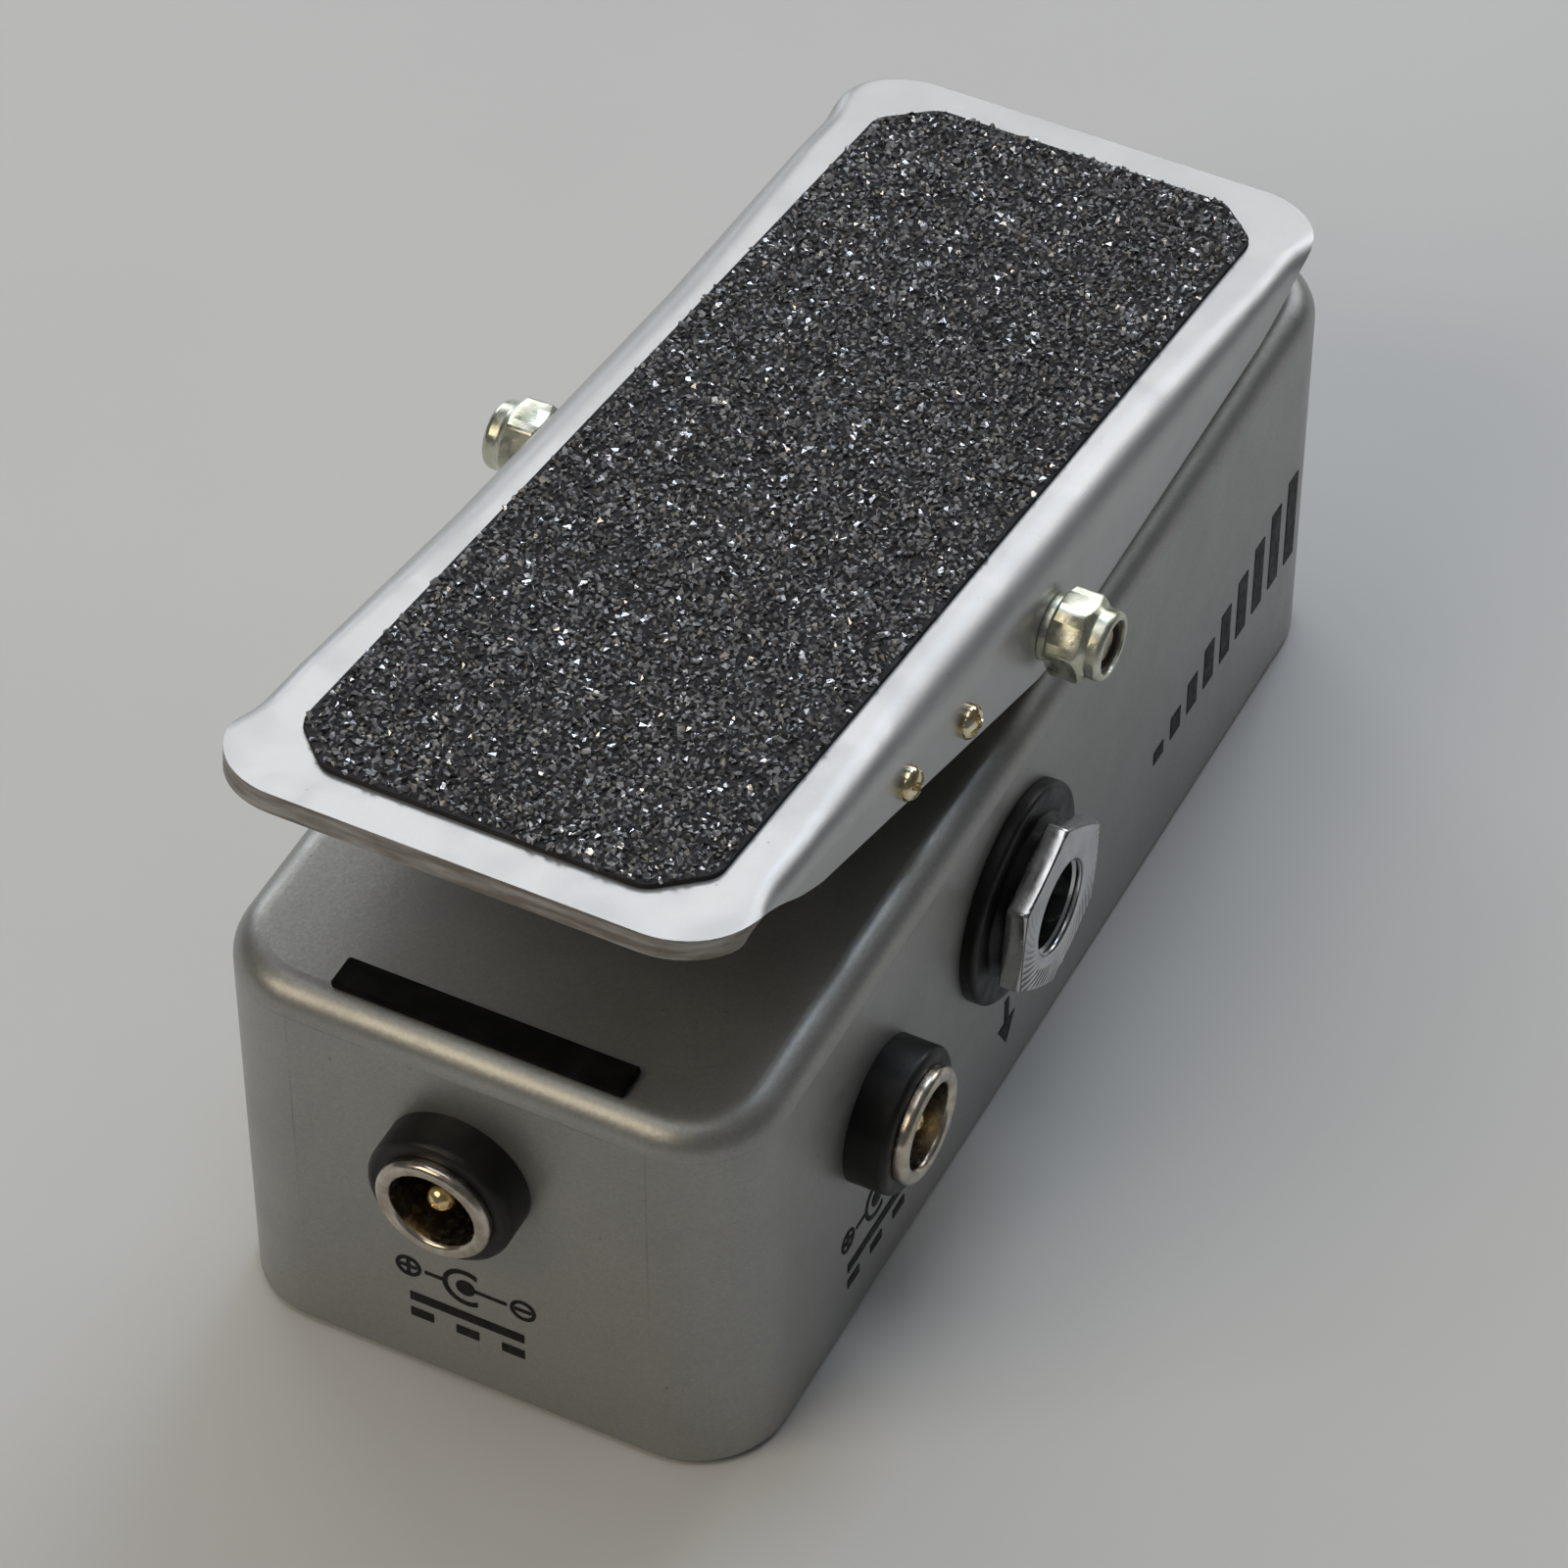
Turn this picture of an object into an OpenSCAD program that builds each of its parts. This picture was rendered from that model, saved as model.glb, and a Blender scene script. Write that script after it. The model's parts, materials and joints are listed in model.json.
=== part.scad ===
// Small volume pedal: a die-cast case, a rocking steel treadle on a cross axle, a sector rack that
// turns a potentiometer, two 6.35 mm jacks and two DC power jacks.
// Millimetres. X is across (the output side is +X), Y runs away from the power-inlet end, Z is up.
// The origin is the centre of the sole, on the surface that the pedal stands on.

/* [Case] */
// Width of the case across the jacks
case_w = 38.5; // [38:0.5:40]
// Length of the case
case_l = 93.4; // [92:0.2:96]
// Height of the case top above the floor
case_top = 32.2; // [32:0.1:32.4]
// Wall thickness of the casting
wall = 2.0; // [1.8:0.1:2.2]
// Vertical corner radius of the case
corner_r = 6.5; // [6:0.5:7]
// Radius along the top edge of the case
edge_r = 2.2; // [1.5:0.1:2.6]
// Thickness of the bottom cover at its rim
cover_t = 2.6; // [2.4:0.1:3]
// Thickness of the rubber sole
sole_t = 0.6; // [0.5:0.1:0.8]

/* [Treadle] */
// Width over the ears and over the side skirts
treadle_w = 36.4; // [36:0.1:37]
// Length of the treadle
treadle_l = 94.8; // [94:0.2:96]
// Sheet thickness of the treadle
sheet_t = 1.6; // [1.4:0.1:1.8]
// Outer radius of the bend between top and skirt
bend_r = 3.0; // [2.6:0.1:3.4]
// Height of the treadle's top face above the axle, square to the sheet
top_h = 5.8; // [5.6:0.1:6]
// Width of the grip pad
pad_w = 28.9; // [27:0.1:29.5]
// Length of the grip pad
pad_l = 87.9; // [86:0.1:89]
// Thickness of the grip pad
pad_t = 0.6; // [0.5:0.1:0.8]
// Tilt of the treadle at rest, far end down
rest_tilt = -8.8; // [-9:0.1:-8.6]

/* [Axle] */
// Height of the axle above the floor
axle_z = 37.1; // [37:0.1:37.3]
// Radius of the axle
axle_r = 1.5; // [1.5:0.01:1.51]
// Radial clearance of the axle in its bushes
bush_gap = 0.03; // [0.02:0.01:0.05]

/* [Gear] */
// Gear module
gear_m = 0.4; // [0.39:0.01:0.4]
// Teeth on the pinion
pinion_n = 12; // [12:1:12]
// Teeth that a whole wheel like the sector would have
sector_n = 106; // [106:1:106]

/* [Jacks] */
// Distance of the output jack's axis from the middle of the case, towards the near end
out_y = -7.2; // [-7.5:0.1:-7]
// Distance of the input jack's axis from the middle of the case, towards the far end
in_y = 8.4; // [8.2:0.1:9]
// Height of both signal jacks
signal_z = 19.4; // [19.2:0.1:19.8]
// Bore radius of a signal jack
signal_bore_r = 3.25; // [3.2:0.01:3.3]
// Sideways place of the power inlet on the near end
dc_in_x = -0.6; // [-1:0.1:0]
// Height of the power inlet
dc_in_z = 21.5; // [21:0.1:22]
// Place of the power outlet along the output side
dc_out_y = -27.1; // [-27.4:0.1:-26.8]
// Height of the power outlet
dc_out_z = 17.9; // [17.6:0.1:18.2]

/* [Hidden] */
$fn = 48;
ROUND = 64;

cover_z = sole_t;
case_z = cover_z + cover_t;
roof_z = case_top - wall;
half_w = case_w / 2;
half_l = case_l / 2;
inner_w = case_w - 2 * wall;
inner_l = case_l - 2 * wall;
boss_x = half_w - 5.2;
boss_y = half_l - 5.2;
boss_r = 3.0;

// Cover screws, countersunk
cover_screw_r = 1.2;
cover_head_r = 2.4;
pilot_gap = 0.05;

// Thin rubber strips on the case top, one at each end
strip_w = 20.7;
strip_l = 2.5;
strip_t = 0.6;
strip_y = 43.65;

// Sheet details of the treadle, in its own frame: the axle is the origin, v runs along, h is up
plate_mid = -0.6;
pad_mid = -0.45;
ear_r = 5.5;
skirt_x = treadle_w / 2;
skirt_end = 39;
skirt_low = -3.8;
skirt_rise = tan(10.1);
skirt_turn = 33;
skirt_in_x = skirt_x - sheet_t;
under_h = top_h - sheet_t;
pad_cut = 3.4;

// Axle stack, measured along X
nut_l = 4.0;
nut_corner_r = 3.1;
washer_t = 0.6;
washer_r = 2.8;
axle_hole_r = axle_r + 0.1;
nut_x = skirt_x + washer_t;
axle_end_x = nut_x + nut_l - 0.5;

// Pivot bracket on the case top
ear_x = 13.2;
ear_t = 1.6;
bracket_l = 13;
bracket_t = 1.6;
bracket_round = 3.1;
bush_r = 2.2;
bush_flange_r = 2.9;
bush_flange_t = 0.6;
bracket_screw_x = 7.5;
bracket_screw_y = 3.6;

// Sector rack: screwed inside the right-hand skirt, it hangs through a slot in the case top
rack_x = 10.2;
rack_t = 1.6;
rack_face_x = skirt_in_x - 0.02;
rack_screws_vh = [[-13.1, 0.9], [-22.1, 2.0]];
rack_screw_r = 0.6;
rack_band = 1.9;
sector_r = gear_m * sector_n / 2;
pinion_r = gear_m * pinion_n / 2;
gear_dist = sector_r + pinion_r + 0.05;
pot_dir = 209.5;
pot_y = gear_dist * cos(pot_dir);
pot_z = axle_z + gear_dist * sin(pot_dir);
travel = 17.6;
mesh_angle = pot_dir - rest_tilt;
pressure = 20;
tooth_out = 0.9 * gear_m;
tooth_in = 1.2 * gear_m;
flank_gap = 0.04;
slot_x0 = 9.7;
slot_x1 = 12.3;
slot_y0 = -22.3;
slot_y1 = -16.4;

// Potentiometer, axis along X
pot_face_x = 7.4;
pot_r = 4.4;
pot_l = 7.0;
pot_bush_r = 2.5;
pot_bore_r = 1.55;
shaft_r = 1.5;
shaft_end_x = 12.4;
pinion_x0 = 9.9;
pinion_x1 = 12.1;
pot_plate_t = 1.2;
pot_plate_r = 4.6;
pot_flange_y = [-29.4, -11.6];
pot_screw_x = 4.6;

// Signal jack, drawn on +Z with its wall face at 0
ring_r = 7.9;
ring_t = 1.1;
hub_r = 5.3;
hub_t = 2.0;
jack_nut_t = 1.7;
jack_nut_corner_r = 6.62;
thread_r = 4.6;
inner_tube_r = 4.2;
flange_r = 5.2;
flange_t = 1.1;
jack_back = -22;

// DC jack, drawn on +Z with its wall face at 0
collar_r = 5.15;
collar_t = 3.0;
barrel_r = 4.4;
sleeve_r = 3.6;
sleeve_bore_r = 3.0;
rim_r = 4.1;
rim_t = 0.9;
dc_back = -12;
dc_floor = -8.5;
pin_r = 1.05;

// Circuit board, hung from two posts with its parts underneath
board_z = 15.0;
board_t = 1.6;
board_w = 30;
board_l = 22;
board_y = 26.8;
post_xy = [[-11, 19.8], [11, 35]];
post_r = 2.4;
board_screw_r = 1.0;

// Insulated hookup wire
wire_r = 0.5;
wire_bend = 1.6;

// Printed marks
ink_t = 0.05;
polarity_z = 10.0;
arrow_z = 6.4;
ramp_y = 16.4;
ramp_z = 9.4;
ramp_n = 9;
ramp_step = 2.8;
ramp_bar = 1.6;
ramp_low = 1.2;
ramp_rise = 0.85;
mark_reach = 4.2;
mark_ring_r = 0.95;
mark_dot_r = 0.7;
mark_cup_r = 1.7;
mark_gap = 0.25;
direct_drop = 3.7;
direct_w = 8.4;
direct_t = 0.8;

// ---- shared shapes ----

module rounded_rect(w, l, r) {
    square([w - 2 * r, l], center = true);
    square([w, l - 2 * r], center = true);
    for (sx = [-1, 1], sy = [-1, 1])
        translate([sx * (w / 2 - r), sy * (l / 2 - r)]) circle(r);
}

// Upright half profile: full width below, then a quarter round of radius e at the top
module edge_profile(half, h, e) {
    square([half, h - e]);
    square([half - e, h]);
    translate([half - e, h - e]) circle(e);
}

// Box with round vertical corners and a round top edge
module cast_box(w, l, h, r, e) {
    for (sx = [-1, 1], sy = [-1, 1])
        translate([sx * (w / 2 - r), sy * (l / 2 - r), 0])
            rotate_extrude($fn = ROUND) edge_profile(r, h, e);
    for (s = [0, 1])
        mirror([s, 0, 0])
            translate([0, l / 2 - r, 0])
                rotate([90, 0, 0])
                    linear_extrude(l - 2 * r) edge_profile(w / 2, h, e);
    for (s = [0, 1])
        mirror([0, s, 0])
            translate([-(w / 2 - r), 0, 0])
                rotate([90, 0, 90])
                    linear_extrude(w - 2 * r) edge_profile(l / 2, h, e);
}

// A cylinder along X from x0 to x1
module rod_x(r, x0, x1, y = 0, z = 0) {
    translate([x0, y, z]) rotate([0, 90, 0]) cylinder(r = r, h = x1 - x0);
}

// Places its children in the treadle's frame, at rest
module on_treadle() {
    translate([0, 0, axle_z]) rotate([rest_tilt, 0, 0]) children();
}

// An extrusion of a (v, h) shape along X from x0 to x1
module slab_x(x0, x1) {
    translate([x0, 0, 0]) rotate([90, 0, 90]) linear_extrude(x1 - x0) children();
}

// Pan-head screw standing on z = 0, shank down
module pan_screw(head_r, head_t, shank_r, shank_l) {
    difference() {
        union() {
            cylinder(r = head_r, h = head_t * 0.55);
            translate([0, 0, head_t * 0.55])
                cylinder(r1 = head_r, r2 = head_r * 0.72, h = head_t * 0.45);
            translate([0, 0, -shank_l]) cylinder(r = shank_r, h = shank_l);
        }
        for (a = [0, 90])
            rotate([0, 0, a])
                translate([0, 0, head_t * 0.75])
                    cube([head_r * 1.15, head_r * 0.24, head_t * 0.6], center = true);
    }
}

// ---- gears ----

function inv_angle(a) = tan(a) * 180 / PI - a;

// Half the angle that a tooth fills at radius r, thinned by the flank gap
function half_tooth(r, n, rp) =
    let (rb = rp * cos(pressure), c = min(1, rb / max(r, rb)))
    90 / n + inv_angle(pressure) - inv_angle(acos(c)) - flank_gap * 90 / (PI * rp);

// Points of one tooth centred on angle a0, from inside the root up to the tip and back
function tooth_points(a0, n, rp) =
    let (k = 4, sunk = 0.15, r0 = rp - tooth_in, r1 = rp + tooth_out,
         up = concat([r0 - sunk], [for (i = [0:k]) r0 + (r1 - r0) * i / k]))
    concat(
        [for (r = up) let (a = a0 - half_tooth(r, n, rp)) [r * cos(a), r * sin(a)]],
        [for (i = [k + 1:-1:0]) let (r = up[i], a = a0 + half_tooth(r, n, rp)) [r * cos(a), r * sin(a)]]
    );

// Teeth first..last of a wheel, tooth 0 centred on angle a0
module teeth(n, rp, a0, first, last) {
    for (i = [first:last])
        polygon(tooth_points(a0 + i * 360 / n, n, rp));
}

// ---- case body ----

module sole() {
    color([0.06, 0.06, 0.06])
        linear_extrude(sole_t) rounded_rect(32, 72, 3);
}

module bottom_cover() {
    color([0.62, 0.62, 0.6])
        translate([0, 0, cover_z])
            difference() {
                union() {
                    linear_extrude(cover_t) rounded_rect(case_w, case_l, corner_r);
                    lip();
                }
                cover_screw_places() {
                    translate([0, 0, -0.01])
                        cylinder(r1 = cover_head_r + 0.05, r2 = cover_screw_r + 0.15, h = 1.4);
                    cylinder(r = cover_screw_r + 0.15, h = cover_t + 1);
                }
            }
}

// Locating lip that stands up inside the case, broken at the corner bosses
module lip() {
    gap = 0.2;
    lip_t = 1.2;
    translate([0, 0, cover_t])
        linear_extrude(1.4)
            difference() {
                rounded_rect(inner_w - 2 * gap, inner_l - 2 * gap, corner_r - wall);
                rounded_rect(inner_w - 2 * (gap + lip_t), inner_l - 2 * (gap + lip_t),
                    corner_r - wall - lip_t);
                for (sx = [-1, 1], sy = [-1, 1])
                    translate([sx * boss_x, sy * boss_y]) square(12, center = true);
            }
}

module cover_screw_places() {
    for (sx = [-1, 1], sy = [-1, 1])
        translate([sx * boss_x, sy * boss_y, 0]) children();
}

module cover_screws() {
    color([0.7, 0.7, 0.68])
        translate([0, 0, cover_z])
            cover_screw_places()
                difference() {
                    union() {
                        cylinder(r1 = cover_head_r, r2 = cover_screw_r, h = 1.3);
                        cylinder(r = cover_screw_r, h = 10);
                    }
                    for (a = [0, 90])
                        rotate([0, 0, a]) cube([2.8, 0.6, 1.4], center = true);
                }
}

// Everything that passes through the walls and the roof of the case
module case_holes() {
    rod_x(thread_r + 0.05, half_w - wall - 1, half_w + 1, out_y, signal_z);
    rod_x(thread_r + 0.05, -half_w - 1, -half_w + wall + 1, in_y, signal_z);
    rod_x(barrel_r + 0.05, half_w - wall - 1, half_w + 1, dc_out_y, dc_out_z);
    translate([dc_in_x, -half_l + wall + 1, dc_in_z])
        rotate([90, 0, 0]) cylinder(r = barrel_r + 0.05, h = wall + 2);
    translate([slot_x0, slot_y0, roof_z - 1]) cube([slot_x1 - slot_x0, slot_y1 - slot_y0, wall + 2]);
    bracket_screw_places() translate([0, 0, roof_z - 1]) cylinder(r = 1.05, h = wall + 2);
    for (y = pot_flange_y)
        translate([pot_screw_x, y, roof_z - 1]) cylinder(r = 0.85, h = wall + 0.4);
}

module case() {
    color([0.66, 0.66, 0.64]) {
        difference() {
            translate([0, 0, case_z]) cast_box(case_w, case_l, case_top - case_z, corner_r, edge_r);
            difference() {
                translate([0, 0, case_z - 1])
                    linear_extrude(roof_z - case_z + 1) rounded_rect(inner_w, inner_l, corner_r - wall);
                cover_screw_places() translate([0, 0, case_z]) cylinder(r = boss_r, h = roof_z);
                for (p = post_xy)
                    translate([p[0], p[1], board_z + board_t]) cylinder(r = post_r, h = roof_z);
            }
            case_holes();
            cover_screw_places()
                translate([0, 0, case_z - 1]) cylinder(r = cover_screw_r + pilot_gap, h = 12);
            for (p = post_xy)
                translate([p[0], p[1], board_z]) cylinder(r = board_screw_r + pilot_gap, h = 8);
        }
    }
}

module end_strip(s) {
    color([0.03, 0.03, 0.03])
        translate([0, s * strip_y, case_top + strip_t / 2])
            cube([strip_w, strip_l, strip_t], center = true);
}

module near_strip() {
    end_strip(-1);
}

module far_strip() {
    end_strip(1);
}

// ---- pivot on the case top ----

module bracket_screw_places() {
    for (sx = [-1, 1], sy = [-1, 1])
        translate([sx * bracket_screw_x, sy * bracket_screw_y, 0]) children();
}

module bracket_ear(x0) {
    slab_x(x0, x0 + ear_t)
        difference() {
            union() {
                translate([0, axle_z]) circle(bracket_round, $fn = ROUND);
                polygon([
                    [-bracket_l / 2, case_top], [bracket_l / 2, case_top],
                    [bracket_l / 2, case_top + bracket_t],
                    [bracket_round, axle_z], [-bracket_round, axle_z],
                    [-bracket_l / 2, case_top + bracket_t]
                ]);
            }
            translate([0, axle_z]) circle(bush_r + 0.02);
        }
}

module pivot_bracket() {
    color([0.72, 0.72, 0.7]) {
        difference() {
            translate([-ear_x, -bracket_l / 2, case_top]) cube([2 * ear_x, bracket_l, bracket_t]);
            bracket_screw_places() translate([0, 0, case_top - 1]) cylinder(r = 1.2, h = 4);
        }
        bracket_ear(-ear_x);
        bracket_ear(ear_x - ear_t);
    }
}

module bracket_screws() {
    color([0.75, 0.75, 0.72])
        bracket_screw_places()
            translate([0, 0, case_top + bracket_t]) pan_screw(2.0, 1.4, 1.0, 4.8);
}

module axle_bushes() {
    color([0.78, 0.62, 0.3])
        for (s = [0, 1])
            mirror([s, 0, 0])
                difference() {
                    union() {
                        rod_x(bush_r, ear_x - ear_t, ear_x, 0, axle_z);
                        rod_x(bush_flange_r, ear_x, ear_x + bush_flange_t, 0, axle_z);
                    }
                    rod_x(axle_r + bush_gap, ear_x - ear_t - 1, ear_x + bush_flange_t + 1, 0, axle_z);
                }
}

// ---- treadle ----

// Plan outline of the flat sheet: full width at the ears, narrow between the skirts
module flat_outline() {
    difference() {
        translate([0, plate_mid]) rounded_rect(treadle_w, treadle_l, ear_r);
        for (s = [-1, 1]) {
            translate([s * skirt_x, 0])
                square([2 * bend_r, 2 * skirt_end], center = true);
            for (e = [-1, 1])
                translate([s * skirt_x, e * skirt_end]) circle(bend_r);
        }
    }
}

// Section of the bend and the skirt on one side, in (x, h)
module skirt_section() {
    mid_x = skirt_x - bend_r;
    mid_h = top_h - bend_r;
    difference() {
        translate([mid_x, mid_h]) circle(bend_r, $fn = ROUND);
        translate([mid_x, mid_h]) circle(bend_r - sheet_t, $fn = ROUND);
        translate([mid_x - 2 * bend_r, mid_h - bend_r]) square([2 * bend_r, 3 * bend_r]);
        translate([mid_x - bend_r, mid_h - 2 * bend_r]) square([3 * bend_r, 2 * bend_r]);
    }
    translate([skirt_in_x, skirt_low - 1]) square([sheet_t, mid_h - skirt_low + 1]);
}

// Side view of the skirt in (v, h): two slopes that meet under the axle, and a flare at each end
module skirt_side() {
    turn_h = skirt_low + skirt_turn * skirt_rise;
    flare = [for (i = [0:6]) let (a = 90 * i / 6)
        [skirt_turn + (skirt_end - skirt_turn) * sin(a), turn_h + (under_h - turn_h) * (1 - cos(a))]];
    right = concat([[2.5, skirt_low + 2.5 * skirt_rise]], flare, [[skirt_end, top_h + 1]]);
    left = [for (i = [len(right) - 1:-1:0]) [-right[i][0], right[i][1]]];
    polygon(concat(right, left, [[0, skirt_low + 0.2]]));
}

module treadle_plate() {
    color([0.78, 0.78, 0.77])
        on_treadle()
            difference() {
                union() {
                    translate([0, 0, under_h]) linear_extrude(sheet_t) flat_outline();
                    for (s = [0, 1])
                        mirror([s, 0, 0])
                            intersection() {
                                translate([0, skirt_end, 0])
                                    rotate([90, 0, 0]) linear_extrude(2 * skirt_end) skirt_section();
                                slab_x(0, skirt_x + 1) skirt_side();
                            }
                }
                rod_x(axle_hole_r, -skirt_x - 1, skirt_x + 1);
                for (p = rack_screws_vh)
                    rod_x(rack_screw_r + 0.05, rack_face_x, skirt_x + 1, p[0], p[1]);
            }
}

module grip_pad() {
    color([0.09, 0.09, 0.1])
        on_treadle()
            translate([0, pad_mid, top_h])
                linear_extrude(pad_t)
                    intersection() {
                        square([pad_w, pad_l], center = true);
                        rotate(45) square((pad_w + pad_l - pad_cut) / sqrt(2), center = true);
                        rounded_rect(pad_w, pad_l, 2);
                    }
}

// Rubber stops under both ends of the treadle, which land on the strips
module treadle_stops() {
    gap = 0.3;
    color([0.05, 0.05, 0.05])
        on_treadle()
            for (s = [-1, 1])
                translate([0, s * (strip_y + 1), under_h - stop_t(gap) / 2])
                    cube([16, 2.2, stop_t(gap)], center = true);
}

// Thickness that leaves a gap over the far strip at rest
function stop_t(gap) =
    let (y = strip_y + 1, h = (case_top + strip_t + gap - axle_z) / cos(rest_tilt) + y * tan(-rest_tilt))
    under_h - h;

module axle() {
    color([0.75, 0.75, 0.72])
        on_treadle() rod_x(axle_r, -axle_end_x, axle_end_x);
}

// Nylon-insert lock nuts: a hexagon, then a round collar
module axle_nuts() {
    hex_l = 2.7;
    color([0.82, 0.8, 0.7])
        on_treadle()
            for (s = [0, 1])
                mirror([s, 0, 0])
                    difference() {
                        union() {
                            intersection() {
                                translate([nut_x, 0, 0])
                                    rotate([0, 90, 0]) rotate(30)
                                        cylinder(r = nut_corner_r, h = hex_l, $fn = 6);
                                translate([nut_x, 0, 0])
                                    rotate([0, 90, 0]) cylinder(r1 = 3.6, r2 = 2.85, h = hex_l + 0.6);
                            }
                            rod_x(2.45, nut_x + hex_l / 2, nut_x + nut_l);
                        }
                        rod_x(axle_r, nut_x - 1, nut_x + nut_l + 1);
                    }
}

module axle_washers() {
    color([0.75, 0.74, 0.7])
        on_treadle()
            for (s = [0, 1])
                mirror([s, 0, 0])
                    difference() {
                        rod_x(washer_r, skirt_x, skirt_x + washer_t);
                        rod_x(axle_hole_r, skirt_x - 1, skirt_x + washer_t + 1);
                    }
}

// Sleeves that keep the skirts centred over the bracket
module axle_spacers() {
    side_gap = 0.3;
    color([0.9, 0.9, 0.88])
        on_treadle()
            for (s = [0, 1])
                mirror([s, 0, 0])
                    difference() {
                        rod_x(2.6, ear_x + bush_flange_t + side_gap, skirt_in_x);
                        rod_x(axle_r + 0.05, ear_x, skirt_in_x + 1);
                    }
}

// ---- sector rack and its screws ----

module sector_outline() {
    first_a = mesh_angle - travel - 4.4;
    last_a = mesh_angle + 4.2;
    root = sector_r - tooth_in;
    steps = 24;
    a0 = 168;
    inner = [for (i = [0:steps]) let (a = a0 + (last_a - a0) * i / steps)
        [(root - rack_band) * cos(a), (root - rack_band) * sin(a)]];
    outer = [for (i = [steps:-1:0]) let (a = a0 + (last_a - a0) * i / steps)
        [root * cos(a), root * sin(a)]];
    polygon(concat(inner, outer));
    pitch = 360 / sector_n;
    first = -floor((mesh_angle - first_a) / pitch);
    last = floor((last_a - mesh_angle) / pitch);
    teeth(sector_n, sector_r, mesh_angle, first, last);
}

module sector_rack() {
    web = [[-24.0, 0.9], [-24.0, 2.95], [-11.8, 2.0], [-11.8, -0.6], [-17.0, -1.2]];
    flange = [[-24.0, -0.2], [-24.0, 2.95], [-11.8, 2.0], [-11.8, -2.0]];
    shelf = [[-24.0, 1.6], [-24.0, 2.95], [-11.8, 2.0], [-11.8, 0.6]];
    color([0.7, 0.71, 0.72])
        on_treadle()
            difference() {
                union() {
                    slab_x(rack_x, rack_x + rack_t) {
                        polygon(web);
                        sector_outline();
                    }
                    slab_x(rack_x, rack_face_x) polygon(shelf);
                    slab_x(rack_face_x - 1.4, rack_face_x) polygon(flange);
                }
                for (p = rack_screws_vh)
                    rod_x(rack_screw_r + 0.02, rack_face_x - 2.2, rack_face_x + 1, p[0], p[1]);
            }
}

module rack_screws() {
    head_r = 1.2;
    color([0.85, 0.72, 0.42])
        on_treadle()
            for (p = rack_screws_vh)
                translate([skirt_x, p[0], p[1]])
                    rotate([0, 90, 0]) {
                        pan_screw(head_r, 0.8, rack_screw_r, sheet_t + 1.9);
                    }
}

// ---- potentiometer ----

module pinion() {
    phase = pot_dir + 180 + 180 / pinion_n;
    color([0.86, 0.84, 0.78])
        translate([0, pot_y, pot_z])
            slab_x(pinion_x0, pinion_x1)
                difference() {
                    union() {
                        circle(pinion_r - tooth_in, $fn = ROUND);
                        teeth(pinion_n, pinion_r, phase, 0, pinion_n - 1);
                    }
                    circle(shaft_r - 0.4);
                }
}

module pot_shaft() {
    journal_x = pinion_x0;
    color([0.8, 0.8, 0.78]) {
        rod_x(shaft_r, pot_face_x - pot_l + 1.6, journal_x, pot_y, pot_z);
        rod_x(shaft_r - 0.4, journal_x, shaft_end_x, pot_y, pot_z);
    }
}

module pot_bracket() {
    y0 = pot_flange_y[0] - 2.6;
    y1 = pot_flange_y[1] + 2.6;
    color([0.7, 0.7, 0.68])
        difference() {
            union() {
                translate([pot_face_x, y0, roof_z - 4.2]) cube([pot_plate_t, y1 - y0, 4.2]);
                rod_x(pot_plate_r, pot_face_x, pot_face_x + pot_plate_t, pot_y, pot_z);
                translate([pot_face_x, pot_y - pot_plate_r, pot_z])
                    cube([pot_plate_t, 2 * pot_plate_r, roof_z - pot_z]);
                for (y = pot_flange_y)
                    translate([2.2, y - 2.6, roof_z - pot_plate_t])
                        cube([pot_face_x + pot_plate_t - 2.2, 5.2, pot_plate_t]);
            }
            rod_x(pot_bush_r + 0.03, pot_face_x - 1, pot_face_x + 3, pot_y, pot_z);
            for (y = pot_flange_y)
                translate([pot_screw_x, y, roof_z - 3]) cylinder(r = 0.95, h = 4);
        }
}

module pot_bracket_screws() {
    color([0.75, 0.75, 0.72])
        for (y = pot_flange_y)
            translate([pot_screw_x, y, roof_z - pot_plate_t])
                rotate([180, 0, 0]) pan_screw(1.5, 1.0, 0.8, 2.4);
}

module pot_body() {
    color([0.2, 0.3, 0.25])
        difference() {
            union() {
                rod_x(pot_r, pot_face_x - pot_l, pot_face_x, pot_y, pot_z);
                rod_x(pot_bush_r, pot_face_x, pinion_x0 - 0.35, pot_y, pot_z);
            }
            rod_x(pot_bore_r, pot_face_x - pot_l + 1.2, pinion_x0 + 1, pot_y, pot_z);
        }
}

module pot_nut() {
    color([0.78, 0.78, 0.76])
        translate([pot_face_x + pot_plate_t, pot_y, pot_z])
            rotate([0, 90, 0])
                difference() {
                    cylinder(r = 3.7, h = 0.8, $fn = 6);
                    translate([0, 0, -1]) cylinder(r = pot_bush_r, h = 3);
                }
}

module pot_tabs() {
    color([0.85, 0.83, 0.75])
        for (i = [-1:1])
            translate([pot_face_x - pot_l + 0.8, pot_y + i * 2.2 - 0.5, pot_z - pot_r - 2.6])
                cube([0.4, 1.0, 2.6 + pot_r * (1 - cos(asin(max(0, abs(i) * 2.2 - 0.5) / pot_r)))]);
}

// ---- signal jacks, on +Z ----

module jack_ring() {
    ring_edge = 0.3;
    color([0.05, 0.05, 0.05])
        difference() {
            union() {
                cylinder(r = ring_r, h = ring_t - ring_edge, $fn = ROUND);
                translate([0, 0, ring_t - ring_edge])
                    cylinder(r1 = ring_r, r2 = ring_r - ring_edge, h = ring_edge, $fn = ROUND);
                cylinder(r = hub_r, h = hub_t);
            }
            translate([0, 0, -1]) cylinder(r = thread_r + 0.02, h = hub_t + 2);
        }
}

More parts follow.
